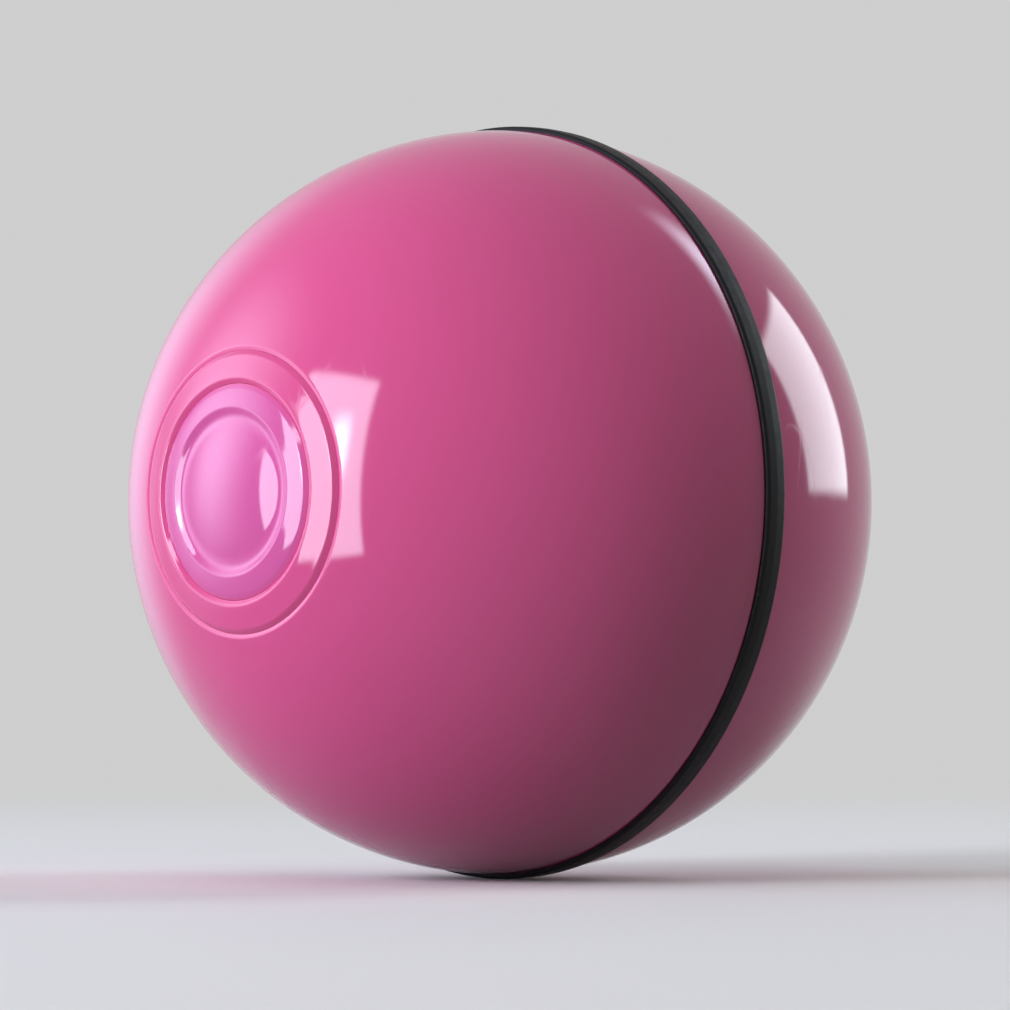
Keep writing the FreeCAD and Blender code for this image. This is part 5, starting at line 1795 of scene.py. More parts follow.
@dataclass
class Drum:
    """Weighted carriage that hangs from the axle: tub, lid, wall of the gear train and their screws."""

    r: float = 26.0
    straight: float = 9.5
    slope: float = 0.6514
    end: float = 20.4
    wall: float = 1.4
    end_wall: float = 1.8
    seat: float = 3.22
    pin_seat: float = 1.52
    thick: float = 1.6
    saddle: Place = (5.0, 5.0)
    lid_screw: Place = (20.4, 8.6)
    motor_lead_slot: tuple[Span, Span] = ((7.0, 13.0), (5.9, 9.1))
    cell_lead_slot: tuple[Span, Span] = ((-8.2, -4.2), (13.9, 15.4))
    left_mouth: Place = (4.8, -10.0)
    right_mouth: Place = (3.2, 15.3)
    pillar: Corner = (2.3, 14.0, 6.0)
    board_posts: tuple[Place, ...] = ((-10.0, -8.5), (10.0, -8.5), (-10.0, 15.5), (10.0, 15.5))
    board_post: Corner = (1.6, 5.4, 3.4)
    plate_post: Place = (15.6, -2.4)
    plate_r: float = 20.0
    plate_y: Span = (-14.2, -13.0)
    plate_top: float = -1.2
    notch: Place = (4.3, -4.4)
    tab_post: Corner = (2.0, 8.0, 14.2)
    tab_top: float = -15.8
    shaft_hole: float = 0.78
    pin_hole: float = 0.52
    motor_hole: float = 2.02
    motor_screw: float = 4.5
    screw_hole: float = 1.0
    pilot: float = 0.85
    sockets: Place = (1.7, -18.42)

    def radius(self, y: Array, inward: float) -> Array:
        """Radius of the drum at a height, its outline moved in: R - q - m max(0, |y| - s + 0.297 q)."""
        return self.r - inward - self.slope * np.maximum(0.0, np.abs(y) - self.straight + 0.297 * inward)

    def skin(self, x: float, y: float, shank: float) -> Array:
        """Depths at which a post's foot ends inside the wall: sqrt((R(y) - 0.7)^2 - x^2) round its rim.

        Args:
            x: the post's x.
            y: the post's y.
            shank: its radius.

        Returns:
            One depth for each of the 48 points round it.
        """
        t = np.linspace(0, 2 * math.pi, 48, endpoint=False)
        across, along = x + shank * np.cos(t), y - shank * np.sin(t)
        return np.sqrt(np.maximum(self.radius(along, 0.7) ** 2 - across ** 2, 1.0))

    def lid_screws(self) -> list[Place]:
        """Places (x, y) of the lid's screws."""
        return [(i * self.lid_screw[0], j * self.lid_screw[1]) for i in SIDES for j in SIDES]

    def tub(self, output: Place, first: Place) -> Surface:
        """Half drum with end walls, pillars and posts.

        Formula: its wall is an outline carried through half a turn, each end wall is half a disc
        with a half-round seat, and each pillar's foot ends inside the wall at z = -sqrt(R^2 - x^2).

        Args:
            output: (x, z) of the output shaft.
            first: (x, z) of the first gear's pin.

        Returns:
            One surface of closed shells that reach into each other.
        """
        inner_end, inner_bend = self.end - self.end_wall, self.straight - 0.297 * self.wall
        end_r, inner_r = float(self.radius(self.end, 0)), float(self.radius(inner_end, self.wall))
        corners = [
            (end_r, -self.end, 0.7), (self.r, -self.straight, 2.0), (self.r, self.straight, 2.0),
            (end_r, self.end, 0.7), (17.6, self.end, 0.0), (17.6, inner_end, 0.0), (inner_r, inner_end, 0.3),
            (self.r - self.wall, inner_bend, 1.0), (self.r - self.wall, -inner_bend, 1.0),
            (inner_r, -inner_end, 0.3), (17.6, -inner_end, 0.0), (17.6, -self.end, 0.0),
        ]
        parts = [arched(rounded(corners, True), 180, 180, 121)]
        t = np.linspace(math.pi, 2 * math.pi, 73)
        arc = np.stack([np.cos(t), np.sin(t)], -1)
        journals = ((output, self.shaft_hole, 32), (first, self.pin_hole, 24))
        holes = [circle(bore, sides, place) for place, bore, sides in journals]
        left = [np.concatenate([17.9 * arc, self.seat * arc[::-1]])] + holes
        right = [np.concatenate([17.9 * arc, self.pin_seat * arc[::-1]])]
        parts.append(plate(left, (-self.end + 0.02, -inner_end - 0.02), 0.06))
        parts.append(plate(right, (inner_end + 0.02, self.end - 0.02), 0.06))
        outer, top = self.sockets
        parts += [ring_at(place, (bore, outer), (-inner_end - 0.1, top)) for place, bore, _ in journals]
        shank, foot, depth = self.pillar
        for x, y in self.lid_screws():
            skin = np.minimum(foot, self.skin(x, y, shank))
            parts.append(post(shank, skin, self.pilot, depth).placed((x, y, 0), UP))
        (shank, x, y), top = self.tab_post, self.tab_top
        for at in (-x, x):
            skin = self.skin(at, y, shank) + top
            parts.append(post(shank, skin, self.pilot, 3.2).placed((at, y, top), UP))
        (x, z), foot = self.plate_post, self.plate_y[0]
        parts += [post(1.9, 4.7, self.pilot, 3.5).placed((side * x, foot, z), RIGHT) for side in SIDES]
        return joined(parts)

    def lid(self) -> Surface:
        """Flat lid with the openings, the saddles over both bearings and the board's posts.

        Returns:
            One surface of closed shells that reach into each other.
        """
        seat, pin, end, inner = self.seat, self.pin_seat, self.end, self.end - self.end_wall
        end_r = float(self.radius(end, 0))
        (mouth, deep), (slot, back), r, s = self.left_mouth, self.right_mouth, self.r, self.straight
        right = [
            (mouth, deep, 0.5), (mouth, -inner, 0.3), (seat, -inner, 0.2), (seat, -end, 0.2),
            (end_r, -end, 0.7), (r, -s, 2.0), (r, s, 2.0), (end_r, end, 0.7), (pin, end, 0.2),
            (pin, inner, 0.2), (slot, inner, 0.3), (slot, back, 0.4),
        ]
        left = mirrored(right)
        corners = left[7:] + right + left[:7]
        holes = [circle(self.screw_hole, 40, place) for place in self.lid_screws()]
        slots = [box_outline(*self.motor_lead_slot, 0.5), box_outline(*self.cell_lead_slot, 0.4)]
        parts = [plate([rounded(corners, True)] + holes + slots, (0.0, self.thick), 0.12, True)]
        t = np.linspace(math.pi, 0, 41)
        half, top = self.saddle
        for radius, span in ((seat, (-end, -inner)), (pin, (inner, end))):
            arc = radius * np.stack([np.cos(t), np.sin(t)], -1)
            side = [(half, 0.02, 0), (half, top, 1.2)]
            outline = np.concatenate([arc, rounded(side + mirrored(side), False)])
            parts.append(plate([outline], (span[0] + 0.02, span[1] - 0.02), 0.1))
        shank, top, pilot = self.board_post
        for x, y in self.board_posts:
            parts.append(post(shank, top - 0.5, 0.65, pilot, 0.012).placed((x, y, top), UP))
            fins = np.array([[x - 0.35, y - 3.0, 1.5], [x - 3.0, y - 0.35, 1.5]])
            parts.append(boxes(fins, fins + np.array([[0.7, 6.0, 1.3], [6.0, 0.7, 1.3]])))
        return joined(parts)

    def gear_wall(self, output: Place, first: Place, motor: Place) -> Surface:
        """Inner wall of the gear train.

        Formula: a disc cut off at its top and notched there, with round holes.

        Args:
            output: (x, z) of the output shaft.
            first: (x, z) of the first gear's pin.
            motor: (x, z) of the motor.

        Returns:
            The wall with the rings that the motor screws' heads sit on.
        """
        start = math.asin(-self.plate_top / self.plate_r)
        t = np.linspace(math.pi + start, 2 * math.pi - start, 121)
        arc = self.plate_r * np.stack([np.cos(t), np.sin(t)], -1)
        (half, foot), top = self.notch, self.plate_top
        side = [(12, top, 0), (half, top, 0.4), (half, foot, 0.5)]
        step = rounded(side + mirrored(side), False)
        wells = [(motor[0] + side * self.motor_screw, motor[1]) for side in SIDES]
        holes = [circle(self.shaft_hole, 32, output), circle(self.pin_hole, 24, first)]
        holes.append(circle(self.motor_hole, 48, motor))
        x, z = self.plate_post
        holes += [circle(self.screw_hole, 32, (side * x, z)) for side in SIDES]
        holes += [circle(1.4, 40, well) for well in wells]
        low, high = self.plate_y
        parts = [plate([np.concatenate([arc, step])] + holes, self.plate_y, 0.06)]
        parts += [ring_at(well, (0.65, 1.5), (low + 0.8, high - 0.02), 0.05) for well in wells]
        return joined(parts)

    def build(self, wardrobe: Wardrobe, centres: tuple[Place, Place, Place]) -> None:
        """Makes the tub, the lid, the gear wall and their screws.

        Args:
            wardrobe: what dresses them.
            centres: (x, z) of the output shaft, the first gear and the motor.
        """
        output, first, motor = centres
        wardrobe.wear("weighted_tub", self.tub(output, first), "carriage_tub")
        wardrobe.wear("drum_lid", self.lid(), "carriage_lid")
        wardrobe.wear("gear_wall", self.gear_wall(output, first, motor), "gear_plate")
        screws = [SCREW.surface((x, y, self.thick), DOWN, 7.58) for x, y in self.lid_screws()]
        wardrobe.wear("drum_lid_screws", joined(screws), "lid_screws")
        (x, z), (low, high) = self.plate_post, self.plate_y
        screws = [SCREW.surface((side * x, high, z), LEFT, 4.68) for side in SIDES]
        wardrobe.wear("gear_wall_screws", joined(screws), "gearbox_screws")
        x, z = motor
        places = [(x + side * self.motor_screw, low + 0.8, z) for side in SIDES]
        screws = [SMALL_SCREW.surface(place, RIGHT, 0.9) for place in places]
        wardrobe.wear("motor_face_screws", joined(screws), "motor_screws")


# Motor

@dataclass
class Motor:
    """Small flat-sided motor: can, back, magnets, armature and shaft."""

    r: float = 6.0
    flat: float = 5.0
    wall: float = 0.5
    can_y: Span = (-13.0, 0.5)
    boss: Place = (2.0, -13.8)
    bore: float = 0.53
    back_y: float = 2.5
    plug_y: float = -0.3
    shaft_r: float = 0.5
    shaft_y: Span = (-16.8, 2.2)
    magnet_r: Span = (4.1, 5.48)
    magnet_y: Span = (-11.0, -2.0)
    core_r: float = 3.7
    core_y: Span = (-9.9, -3.3)
    turns_y: Span = (-10.6, -2.6)
    commutator: Place = (1.3, -0.7)

    def section(self, r: float, flat: float, y: float, at: Place) -> Array:
        """One ring: 1 / r(t)^p = 1 / r^p + (|sin t| / f)^p, a circle with two softened flats.

        Args:
            r: radius of the circle.
            flat: distance f of the flats from the middle.
            y: height along the axle.
            at: (x, z) of the middle.

        Returns:
            (n, 3) points.
        """
        t = np.linspace(0, 2 * math.pi, 120, endpoint=False)
        radius = ((1 / r) ** 60 + (np.abs(np.sin(t)) / flat) ** 60) ** (-1 / 60)
        return np.stack([at[0] + radius * np.cos(t), y + 0 * t, at[1] + radius * np.sin(t)], -1)

    def can(self, at: Place) -> Surface:
        """Deep-drawn can, open at its back, with the front bearing's boss.

        Args:
            at: (x, z) of the motor.

        Returns:
            A closed surface.
        """
        r, f, w, bore = self.r, self.flat, self.wall, self.bore
        (low, high), (boss, tip) = self.can_y, self.boss
        outer = [
            (0.08, high), (0.0, high - 0.08), (0.0, low + 1.1), (0.06, low + 0.62), (0.24, low + 0.26),
            (0.5, low + 0.06), (0.8, low),
        ]
        front = [
            (boss + 0.3, low), (boss + 0.07, low - 0.07), (boss, low - 0.3), (boss, tip + 0.12),
            (boss - 0.12, tip), (bore + 0.08, tip), (bore, tip + 0.08), (bore, low + w),
        ]
        inner = [
            (1.4, low + w), (w + 0.2, low + w + 0.2), (w, low + w + 0.7), (w, high - 0.06), (w - 0.06, high),
        ]
        profile = [(r - by, f - by, y) for by, y in outer] + [(ring, 9, y) for ring, y in front]
        profile += [(r - by, f - by, y) for by, y in inner]
        return lofted(np.stack([self.section(*ring, at) for ring in profile]), True)

    def end_cap(self, at: Place) -> Surface:
        """Moulded back with its plug, bearing boss and bore.

        Args:
            at: (x, z) of the motor.

        Returns:
            A closed surface.
        """
        r, f = self.r, self.flat
        low, high = self.can_y[1] + 0.02, self.back_y
        plug, inner = self.plug_y, self.wall + 0.02
        profile = [
            (r - inner, f - inner, low), (r - inner, f - inner, plug), (2.0, 9, plug), (self.bore, 9, plug),
            (self.bore, 9, high), (2.1, 9, high), (2.3, 9, high - 0.25), (3.4, 3.4, high - 0.25),
            (3.6, 3.6, high), (r - 0.35, f - 0.35, high), (r - 0.1, f - 0.1, high - 0.1), (r, f, high - 0.35),
            (r, f, low + 0.1), (r - 0.1, f - 0.1, low),
        ]
        return lofted(np.stack([self.section(*ring, at) for ring in profile]), True)

    def magnets(self, at: Place) -> Surface:
        """Two curved magnets."""
        outline = box_outline(self.magnet_r, self.magnet_y, 0.25)
        return joined([arched(outline, start, 70, 40, at) for start in (-35, 145)])

    def armature(self, at: Place) -> Surface:
        """Three-pole armature with its windings and commutator.

        Formula: each pole's corners are turned by a third of a turn from the last one's, and each
        winding is a soft box turned with its pole.

        Args:
            at: (x, z) of the shaft.

        Returns:
            One surface, whose mask is 1 on the copper.
        """
        arc = np.radians(np.linspace(-41, 41, 19))
        shoe = [(self.core_r * math.cos(a), self.core_r * math.sin(a)) for a in arc]
        side = [(1.15, -0.7), (2.75, -0.7), (2.35, -2.05)]
        pole = np.array(side + shoe + [(u, -v) for u, v in side[::-1]])
        angles = np.radians([30, 150, 270])
        cos, sin = np.cos(angles), np.sin(angles)
        turn = np.stack([np.stack([cos, sin], -1), np.stack([-sin, cos], -1)], 1)
        outline = np.einsum("nc,pcd->pnd", pole, turn).reshape(-1, 2) + np.array(at)
        parts = [plate([outline], self.core_y, 0.08)]
        low, high = self.turns_y
        for axes in turn:
            coil = soft_box((2.0, (low + high) / 2, 0), (0.72, (high - low) / 2, 1.7), 3.5, 5.0, 40)
            coil.points[:, [0, 2]] = coil.points[:, [0, 2]] @ axes + np.array(at)
            parts.append(coil.marked(1.0))
        radius, end = self.commutator
        parts.append(rod(radius, (high - 0.8, end), 0.1, at, 48).marked(1.0))
        return joined(parts)

    def build(self, wardrobe: Wardrobe, at: Place) -> None:
        """Makes the motor's pieces.

        Args:
            wardrobe: what dresses them.
            at: (x, z) of the motor.
        """
        wardrobe.wear("drawn_can", self.can(at), "motor_can")
        wardrobe.wear("motor_back", self.end_cap(at), "motor_end_cap")
        wardrobe.wear("curved_magnets", self.magnets(at), "motor_magnets")
        wardrobe.wear("wound_armature", self.armature(at), "motor_armature")
        wardrobe.wear("armature_shaft", rod(self.shaft_r, self.shaft_y, 0.12, at), "motor_shaft")


# Weight and cell

@dataclass
class PowerPack:
    """Weight in the bottom of the tub, and the tray, pad and cell over it."""

    tray_z: Span = (-15.8, -14.6)
    tray_half: Place = (15.8, 12.0)
    tab: Corner = (8.0, 16.2, 2.0)
    screw_y: float = 14.2
    rib: Corner = (3.5, 8.0, -12.1)
    weight_inset: float = 1.7
    weight_top: float = -15.82
    weight_half: float = 11.8
    cell_x: Span = (-15.6, 3.4)
    cell_y: float = 12.0
    cell_z: Span = (-13.6, -8.6)
    pad_inset: float = 1.5
    motor_lead: Corner = (2.5, 7.5, -9.2247)
    cell_lead: Corner = (12.0, 14.65, -11.1)
    lead_top: float = 5.4
    lead_r: float = 0.5
    lead_power: float = 2.4

    def tray(self) -> Surface:
        """Clamping tray with two tabs and a rib beside the cell.

        Returns:
            The tray and its rib, which reach into each other.
        """
        half_x, half_y = self.tray_half
        tab_x, tab_y, reach = self.tab
        low, high, q = tab_x - reach, tab_x + reach, 0.6
        right = [
            (half_x, -half_y, 1.0), (half_x, half_y, 1.0), (high, half_y, q), (high, tab_y, q),
            (low, tab_y, q), (low, half_y, q),
        ]
        left = mirrored(right)
        corners = left[-1:] + right + left[:-1]
        holes = [circle(1.0, 40, (side * tab_x, self.screw_y)) for side in SIDES]
        x, half, top = self.rib
        fin = slab((x + 0.3, 0.0), (0.3, half), (self.tray_z[0] + 0.5, top), 0.2, 0.1)
        return joined([plate([rounded(corners, True)] + holes, self.tray_z, 0.12, True), fin])

    def weight(self, drum: Drum) -> Surface:
        """Cast weight that fills the drum's bottom.

        Formula: at each y, the arc of radius R(y) - e(y) below z = top - e(y), with e(y) a small
        step in at both ends.

        Args:
            drum: the drum that it lies in.

        Returns:
            A closed surface.
        """
        reach = np.concatenate([[1.0, 0.987, 0.965], np.linspace(0.94, 0.0, 20)])
        y = self.weight_half * np.concatenate([-reach, reach[-2::-1]])
        ease = 0.45 * np.clip((np.abs(y) / self.weight_half - 0.965) / 0.035, 0, 1) ** 2
        r, top = drum.radius(y, self.weight_inset) - ease, self.weight_top - ease
        lean = np.arcsin(-top / r)[:, None]
        t = math.pi + lean + np.linspace(0, 1, 61)[None, :] * (math.pi - 2 * lean)
        arc = np.stack([r[:, None] * np.cos(t), y[:, None] + 0 * t, r[:, None] * np.sin(t)], -1)
        share = np.linspace(0, 1, 24)[None, 1:-1, None]
        chord = arc[:, -1:] * (1 - share) + arc[:, :1] * share
        return lofted(np.concatenate([arc, chord], 1))

    def cell(self) -> Surface:
        """Pouch cell with its sealed, taped edge at the leads.

        Formula: sections x = w C(t), z = h S(t) with softened corners, whose w and h run along the
        axle through the body's round end and the thin seal. The faces swell by k cos of both ways.

        Returns:
            A closed surface, whose mask is 1 on the tape.
        """
        ends = np.array([
            (-12.0, 0.93, 0.50), (-11.9, 0.97, 0.78), (-11.6, 0.99, 0.92), (-11.1, 1.0, 0.985),
            (-10.4, 1.0, 1.0), (10.0, 1.0, 1.0), (10.5, 0.998, 0.97), (10.85, 0.99, 0.84), (11.02, 0.98, 0.6),
            (11.1, 0.975, 0.3), (11.15, 0.97, 0.16), (11.95, 0.97, 0.14), (12.0, 0.965, 0.10),
        ])
        y = np.sort(np.concatenate([ends[:, 0], np.linspace(-10, 9.9, 25), [10.2, 10.21]]))
        wide = (self.cell_x[1] - self.cell_x[0]) / 2 * np.interp(y, ends[:, 0], ends[:, 1])[:, None]
        tall = (self.cell_z[1] - self.cell_z[0]) / 2 * np.interp(y, ends[:, 0], ends[:, 2])[:, None]
        t = np.linspace(0, 2 * math.pi, 120, endpoint=False)[None, :]
        u = np.sign(np.cos(t)) * np.abs(np.cos(t)) ** 0.22
        v = np.sign(np.sin(t)) * np.abs(np.sin(t)) ** 0.22
        swell = 0.93 + 0.07 * np.cos(u * 1.3) * np.cos(y[:, None] / 9)
        x = sum(self.cell_x) / 2 + wide * u
        z = sum(self.cell_z) / 2 + tall * v * np.where(np.abs(v) > 0.8, swell, 0.97)
        surface = lofted(np.stack([x, y[:, None] + 0 * t, z], -1))
        surface.mask = np.clip((surface.points[:, 1] - 10.2) * 100, 0, 1)
        return surface

    def leads(self, shape: Corner, places: Place) -> Surface:
        """Pair of insulated leads, the second one red.

        Formula: y = y0 + a S(t) and z = z0 + b (1 - C(t)), with S and C raised to 2 / power, laid out
        again by even arc length. Both ends stand square to their solder joints.

        Args:
            shape: the height of the start, the height under the board, and z of the start.
            places: x of the two leads.

        Returns:
            One surface, whose mask is 1 on the red lead.
        """
        start, under, low = shape
        t = np.linspace(0, math.pi / 2, 4001)
        power = 2 / self.lead_power
        y = start + (under - start) * np.sin(t) ** power
        z = low + (self.lead_top - low) * (1 - np.cos(t) ** power)
        run = np.concatenate([[0], np.cumsum(np.hypot(np.diff(y), np.diff(z)))])
        even = np.linspace(0, run[-1], 90)
        y, z = np.interp(even, run, y), np.interp(even, run, z)
        section = circle(self.lead_r, 20)
        both = [swept(np.stack([x + 0 * y, y, z], -1), np.array([1.0, 0, 0]), section) for x in places]
        return joined([lead.marked(float(i)) for i, lead in enumerate(both)])

    def build(self, wardrobe: Wardrobe, drum: Drum) -> None:
        """Makes the weight, the tray, the pad, the cell and all leads.

        Args:
            wardrobe: what dresses them.
            drum: the drum that holds them.
        """
        wardrobe.wear("clamp_tray", self.tray(), "battery_tray")
        wardrobe.wear("cast_weight", self.weight(drum), "counterweight")
        (low, high), foot, by = self.cell_x, self.tray_z[1], self.pad_inset
        half = ((high - low) / 2 - by, self.cell_y - by)
        pad = slab(((low + high) / 2, 0.0), half, (foot, self.cell_z[0]), 0.8, 0.2)
        wardrobe.wear("foam_pad", pad, "battery_pad")
        wardrobe.wear("pouch_cell", self.cell(), "battery")
        x, y = self.tab[0], self.screw_y
        screws = [SCREW.surface((side * x, y, foot), DOWN, 4.38) for side in SIDES]
        wardrobe.wear("clamp_tray_screws", joined(screws), "tray_screws")
        wardrobe.wear("motor_leads", self.leads(self.motor_lead, (8.4, 11.4)), "motor_wires")
        wardrobe.wear("cell_leads", self.leads(self.cell_lead, (-7.4, -5.0)), "battery_wires")


# Circuit boards

@dataclass
class Electronics:
    """Main board with its parts, the switch on its own small board and the charging socket."""

    half: float = 12.0
    board_y: Span = (-13.0, 20.0)
    board_z: Span = (5.4, 6.4)
    chips: tuple[tuple[Place, Corner, int], ...] = (
        ((-5.5, -3.5), (5.0, 5.0, 1.5), 8),
        ((-6.0, 4.5), (4.0, 5.0, 1.5), 4),
        ((0.0, 7.1), (2.8, 3.0, 1.1), 3),
    )
    small: tuple[Place, ...] = ((-0.4, -3.6), (-0.4, -1.2), (-6.4, 9.6), (-3.8, 9.6), (-8.2, 18.0))
    coil: tuple[Place, Corner] = ((4.6, 8.0), (4.0, 4.0, 2.0))
    lamp: Place = (8.2, 18.0)
    sensor: Corner = (6.4, 8.6, 2.2)
    sensor_y: Span = (-7.0, 3.0)
    switch_board_y: Span = (-11.4, -10.4)
    switch_board: Corner = (4.0, -3.4, 5.4)
    switch_y: Span = (-13.2, -11.4)
    switch_half: float = 2.3
    plunger: float = 1.1
    plunger_y: Span = (-14.3, -12.32)
    socket: Corner = (8.94, 3.26, 8.03)
    socket_y: Span = (13.2, 20.5)
    socket_wall: float = 0.3
    tongue: Place = (6.7, 0.7)
    tongue_y: Span = (14.2, 19.8)

    def board(self, posts: Sequence[Place]) -> Surface:
        """Main board with its screw holes.

        Args:
            posts: (x, y) of the holes.

        Returns:
            A closed surface.
        """
        outline = box_outline((-self.half, self.half), self.board_y, 1.0)
        return plate([outline] + [circle(0.65, 32, place) for place in posts], self.board_z, 0.04, True)

    def chip(self, place: Place, size: Corner, legs: int) -> Surface:
        """Moulded circuit with gull-wing legs on both of its long sides.

        Formula: the body is a box with bevelled edges, and each leg is three boxes in a line: a
        foot, a riser and a shoulder.

        Args:
            place: (x, y) of its middle.
            size: length over the legs, width and height.
            legs: legs on each side.

        Returns:
            One surface, whose mask is 1 on the legs.
        """
        (x, y), (length, width, height), top = place, size, self.board_z[1]
        half, outer, thin = length / 2 - 0.55, length / 2, width * 0.18 / legs
        body = slab(place, (half, width / 2), (top + 0.12, top + height), 0.15, 0.14)
        rows = y + (np.arange(legs) - (legs - 1) / 2) * width * 0.86 / legs
        side, middle = np.repeat(SIDES, legs).astype(float), np.tile(rows, 2)

        def strip(near: float, far: float, low: float, high: float) -> Surface:
            """The same box of every leg, on both sides.

            Args:
                near: where it starts, from the middle out.
                far: where it ends.
                low: its foot over the board.
                high: its top.

            Returns:
                One surface.
            """
            a, b, flat = x + side * near, x + side * far, np.full(len(side), top)
            lows = np.stack([np.minimum(a, b), middle - thin, flat + low], -1)
            return boxes(lows, np.stack([np.maximum(a, b), middle + thin, flat + high], -1))

        knee = height * 0.45
        shoulders = strip(half - 0.05, outer - 0.28, knee - 0.12, knee)
        risers = strip(outer - 0.4, outer - 0.28, 0.0, knee)
        feet = strip(outer - 0.4, outer, 0.0, 0.12)
        spot = (x - half + 0.55, y + width / 2 - 0.55, top + height - 0.02)
        dot = rod(0.22, (0.0, 0.05), 0.02).placed(spot, UP)
        return joined([body, joined([shoulders, risers, feet]).marked(1.0), dot])

    def parts(self) -> Surface:
        """Chips, coil and small two-ended parts, each end of which is tinned.

        Returns:
            One surface, whose mask is 1 on the metal.
        """
        made = [self.chip(*given) for given in self.chips]
        top, ((x, y), (length, width, height)) = self.board_z[1], self.coil
        made.append(slab((x, y), (length / 2, width / 2), (top + 0.2, top + height), 0.5, 0.25))
        pads = np.array([[x - length / 2, y - 1.2, top], [x + length / 2 - 0.7, y - 1.2, top]])
        made.append(boxes(pads, pads + np.array([0.7, 2.4, 0.35])).marked(1.0))
        middle = np.array([(x, y, top) for x, y in self.small])
        made.append(boxes(middle - np.array([0.5, 0.36, 0]), middle + np.array([0.5, 0.36, 0.54])))
        ends = np.concatenate([middle - np.array([0.8, 0.4, 0]), middle + np.array([0.45, -0.4, 0])])
        made.append(boxes(ends, ends + np.array([0.35, 0.8, 0.6])).marked(1.0))
        return joined(made)

    def lamp_surface(self) -> Surface:
        """Small lamp.

        Returns:
            A base and a domed lens, whose mask is 1.
        """
        top = self.board_z[1]
        lens = soft_box((*self.lamp, top + 0.42), (0.5, 0.4, 0.28), 5.0, 5.0, 32).marked(1.0)
        return joined([slab(self.lamp, (0.8, 0.4), (top, top + 0.3), 0.08, 0.03), lens])

    def sensor_surface(self) -> Surface:
        """Vibration sensor: a rolled can with a bead and a lead bent down from each end.

        Returns:
            One surface.
        """
        x, z, r = self.sensor
        low, high = self.sensor_y
        corners = [
            (0, low, 0), (r - 0.5, low, 0.2), (r - 0.5, low + 0.35, 0.1), (r, low + 0.45, 0.25),
            (r, low + 1.6, 0.15), (r - 0.18, low + 1.8, 0.1), (r, low + 2.0, 0.15), (r, high - 0.3, 0.3),
            (r - 0.35, high, 0.2), (0, high, 0),
        ]
        t = np.linspace(0, math.pi / 2, 30)
        made = [solid_turned(corners, 64, False, (x, z))]
        drop = z - self.board_z[1]
        for end, way in zip(self.sensor_y, SIDES):
            y, down = end + way * (0.9 * np.sin(t) ** 0.8 - 0.1), z - drop * (1 - np.cos(t) ** 0.8)
            made.append(swept(np.stack([x + 0 * t, y, down], -1), np.array([1.0, 0, 0]), circle(0.22, 12)))
        return joined(made)

    def switch(self) -> tuple[Surface, Surface, Surface]:
        """Push switch with its metal cover, its plunger, and the board that carries it.

        Returns:
            The switch, the plunger and the board, whose masks are 1 on metal and all over the board.
        """
        low, high = self.switch_y
        half, bore = self.switch_half, self.plunger + 0.03
        square = box_outline((-half, half), (-half, half), 0.3)
        inner = box_outline((-half + 0.05, half - 0.05), (-half + 0.05, half - 0.05), 0.3)
        shell = plate([square, circle(bore + 0.2, 48)], (low + 0.3, high - 0.3), 0.05)
        floor = plate([square], (high - 0.38, high), 0.05)
        cover = plate([inner, circle(bore, 48)], (low + 0.06, low + 0.34), 0.04)
        spots = [(i * 1.75, j * 1.75) for i in SIDES for j in SIDES]
        rivets = joined([rod(0.32, (low, low + 0.2), 0.05, spot, 20) for spot in spots])
        feet = np.array([[side * 2.65 - 0.4, high - 0.2, z - 0.3] for side in SIDES for z in (-1.3, 1.3)])
        tabs = boxes(feet, feet + np.array([0.8, 0.2, 0.6]))
        body = joined([shell, floor, joined([cover, rivets, tabs]).marked(1.0)])
        wide, foot, top = self.switch_board
        board = plate([box_outline((-wide, wide), (foot, top), 0.4)], self.switch_board_y, 0.04)
        return body, rod(self.plunger, self.plunger_y, 0.3, columns=48), board.marked(1.0)

    def stadium(self, width: float, height: float, y: float) -> Array:
        """One ring of the socket: a circle of half the height drawn apart along x by the rest.

        Args:
            width: size along x.
            height: size along z.
            y: height along the axle.

        Returns:
            (n, 3) points.
        """
        t, r = np.linspace(0, 2 * math.pi, 96, endpoint=False), height / 2
        x = r * np.cos(t) + np.sign(np.cos(t)) * (width / 2 - r) * (np.abs(np.cos(t)) > 1e-9)
        return np.stack([x, y + 0 * t, self.socket[2] + r * np.sin(t)], -1)

    def socket_surfaces(self) -> tuple[Surface, Surface]:
        """Metal shell of the charging socket, and its tongue with gold contacts.

        Returns:
            The shell, closed at its back, and the tongue, whose mask is 1 on the contacts.
        """
        (width, height, middle), wall = self.socket, self.socket_wall
        low, high = self.socket_y
        clear, bore = width - 2 * wall, height - 2 * wall
        rings = [
            (width - 0.3, height - 0.3, low), (width, height, low + 0.15), (width, height, high - 0.06),
            (width - 0.12, height - 0.12, high), (clear + 0.12, bore + 0.12, high),
            (clear, bore, high - 0.06), (clear, bore, low + 1.0),
        ]
        shell = lofted(np.stack([self.stadium(*ring) for ring in rings]))
        long, thick = self.tongue
        low, high = self.tongue_y
        blade = slab((0.0, middle), (long / 2, thick / 2 - 0.04), (low, high), 0.12, 0.1, False)
        x = np.tile((np.arange(12) - 5.5) * 0.5, 2)
        face = middle + np.repeat(SIDES, 12) * (thick / 2 - 0.04)
        lows = np.stack([x - 0.12, np.full(24, low + 0.3), face - 0.04], -1)
        contacts = boxes(lows, lows + np.array([0.24, high - low - 0.8, 0.08])).marked(1.0)
        return shell, joined([blade, contacts])

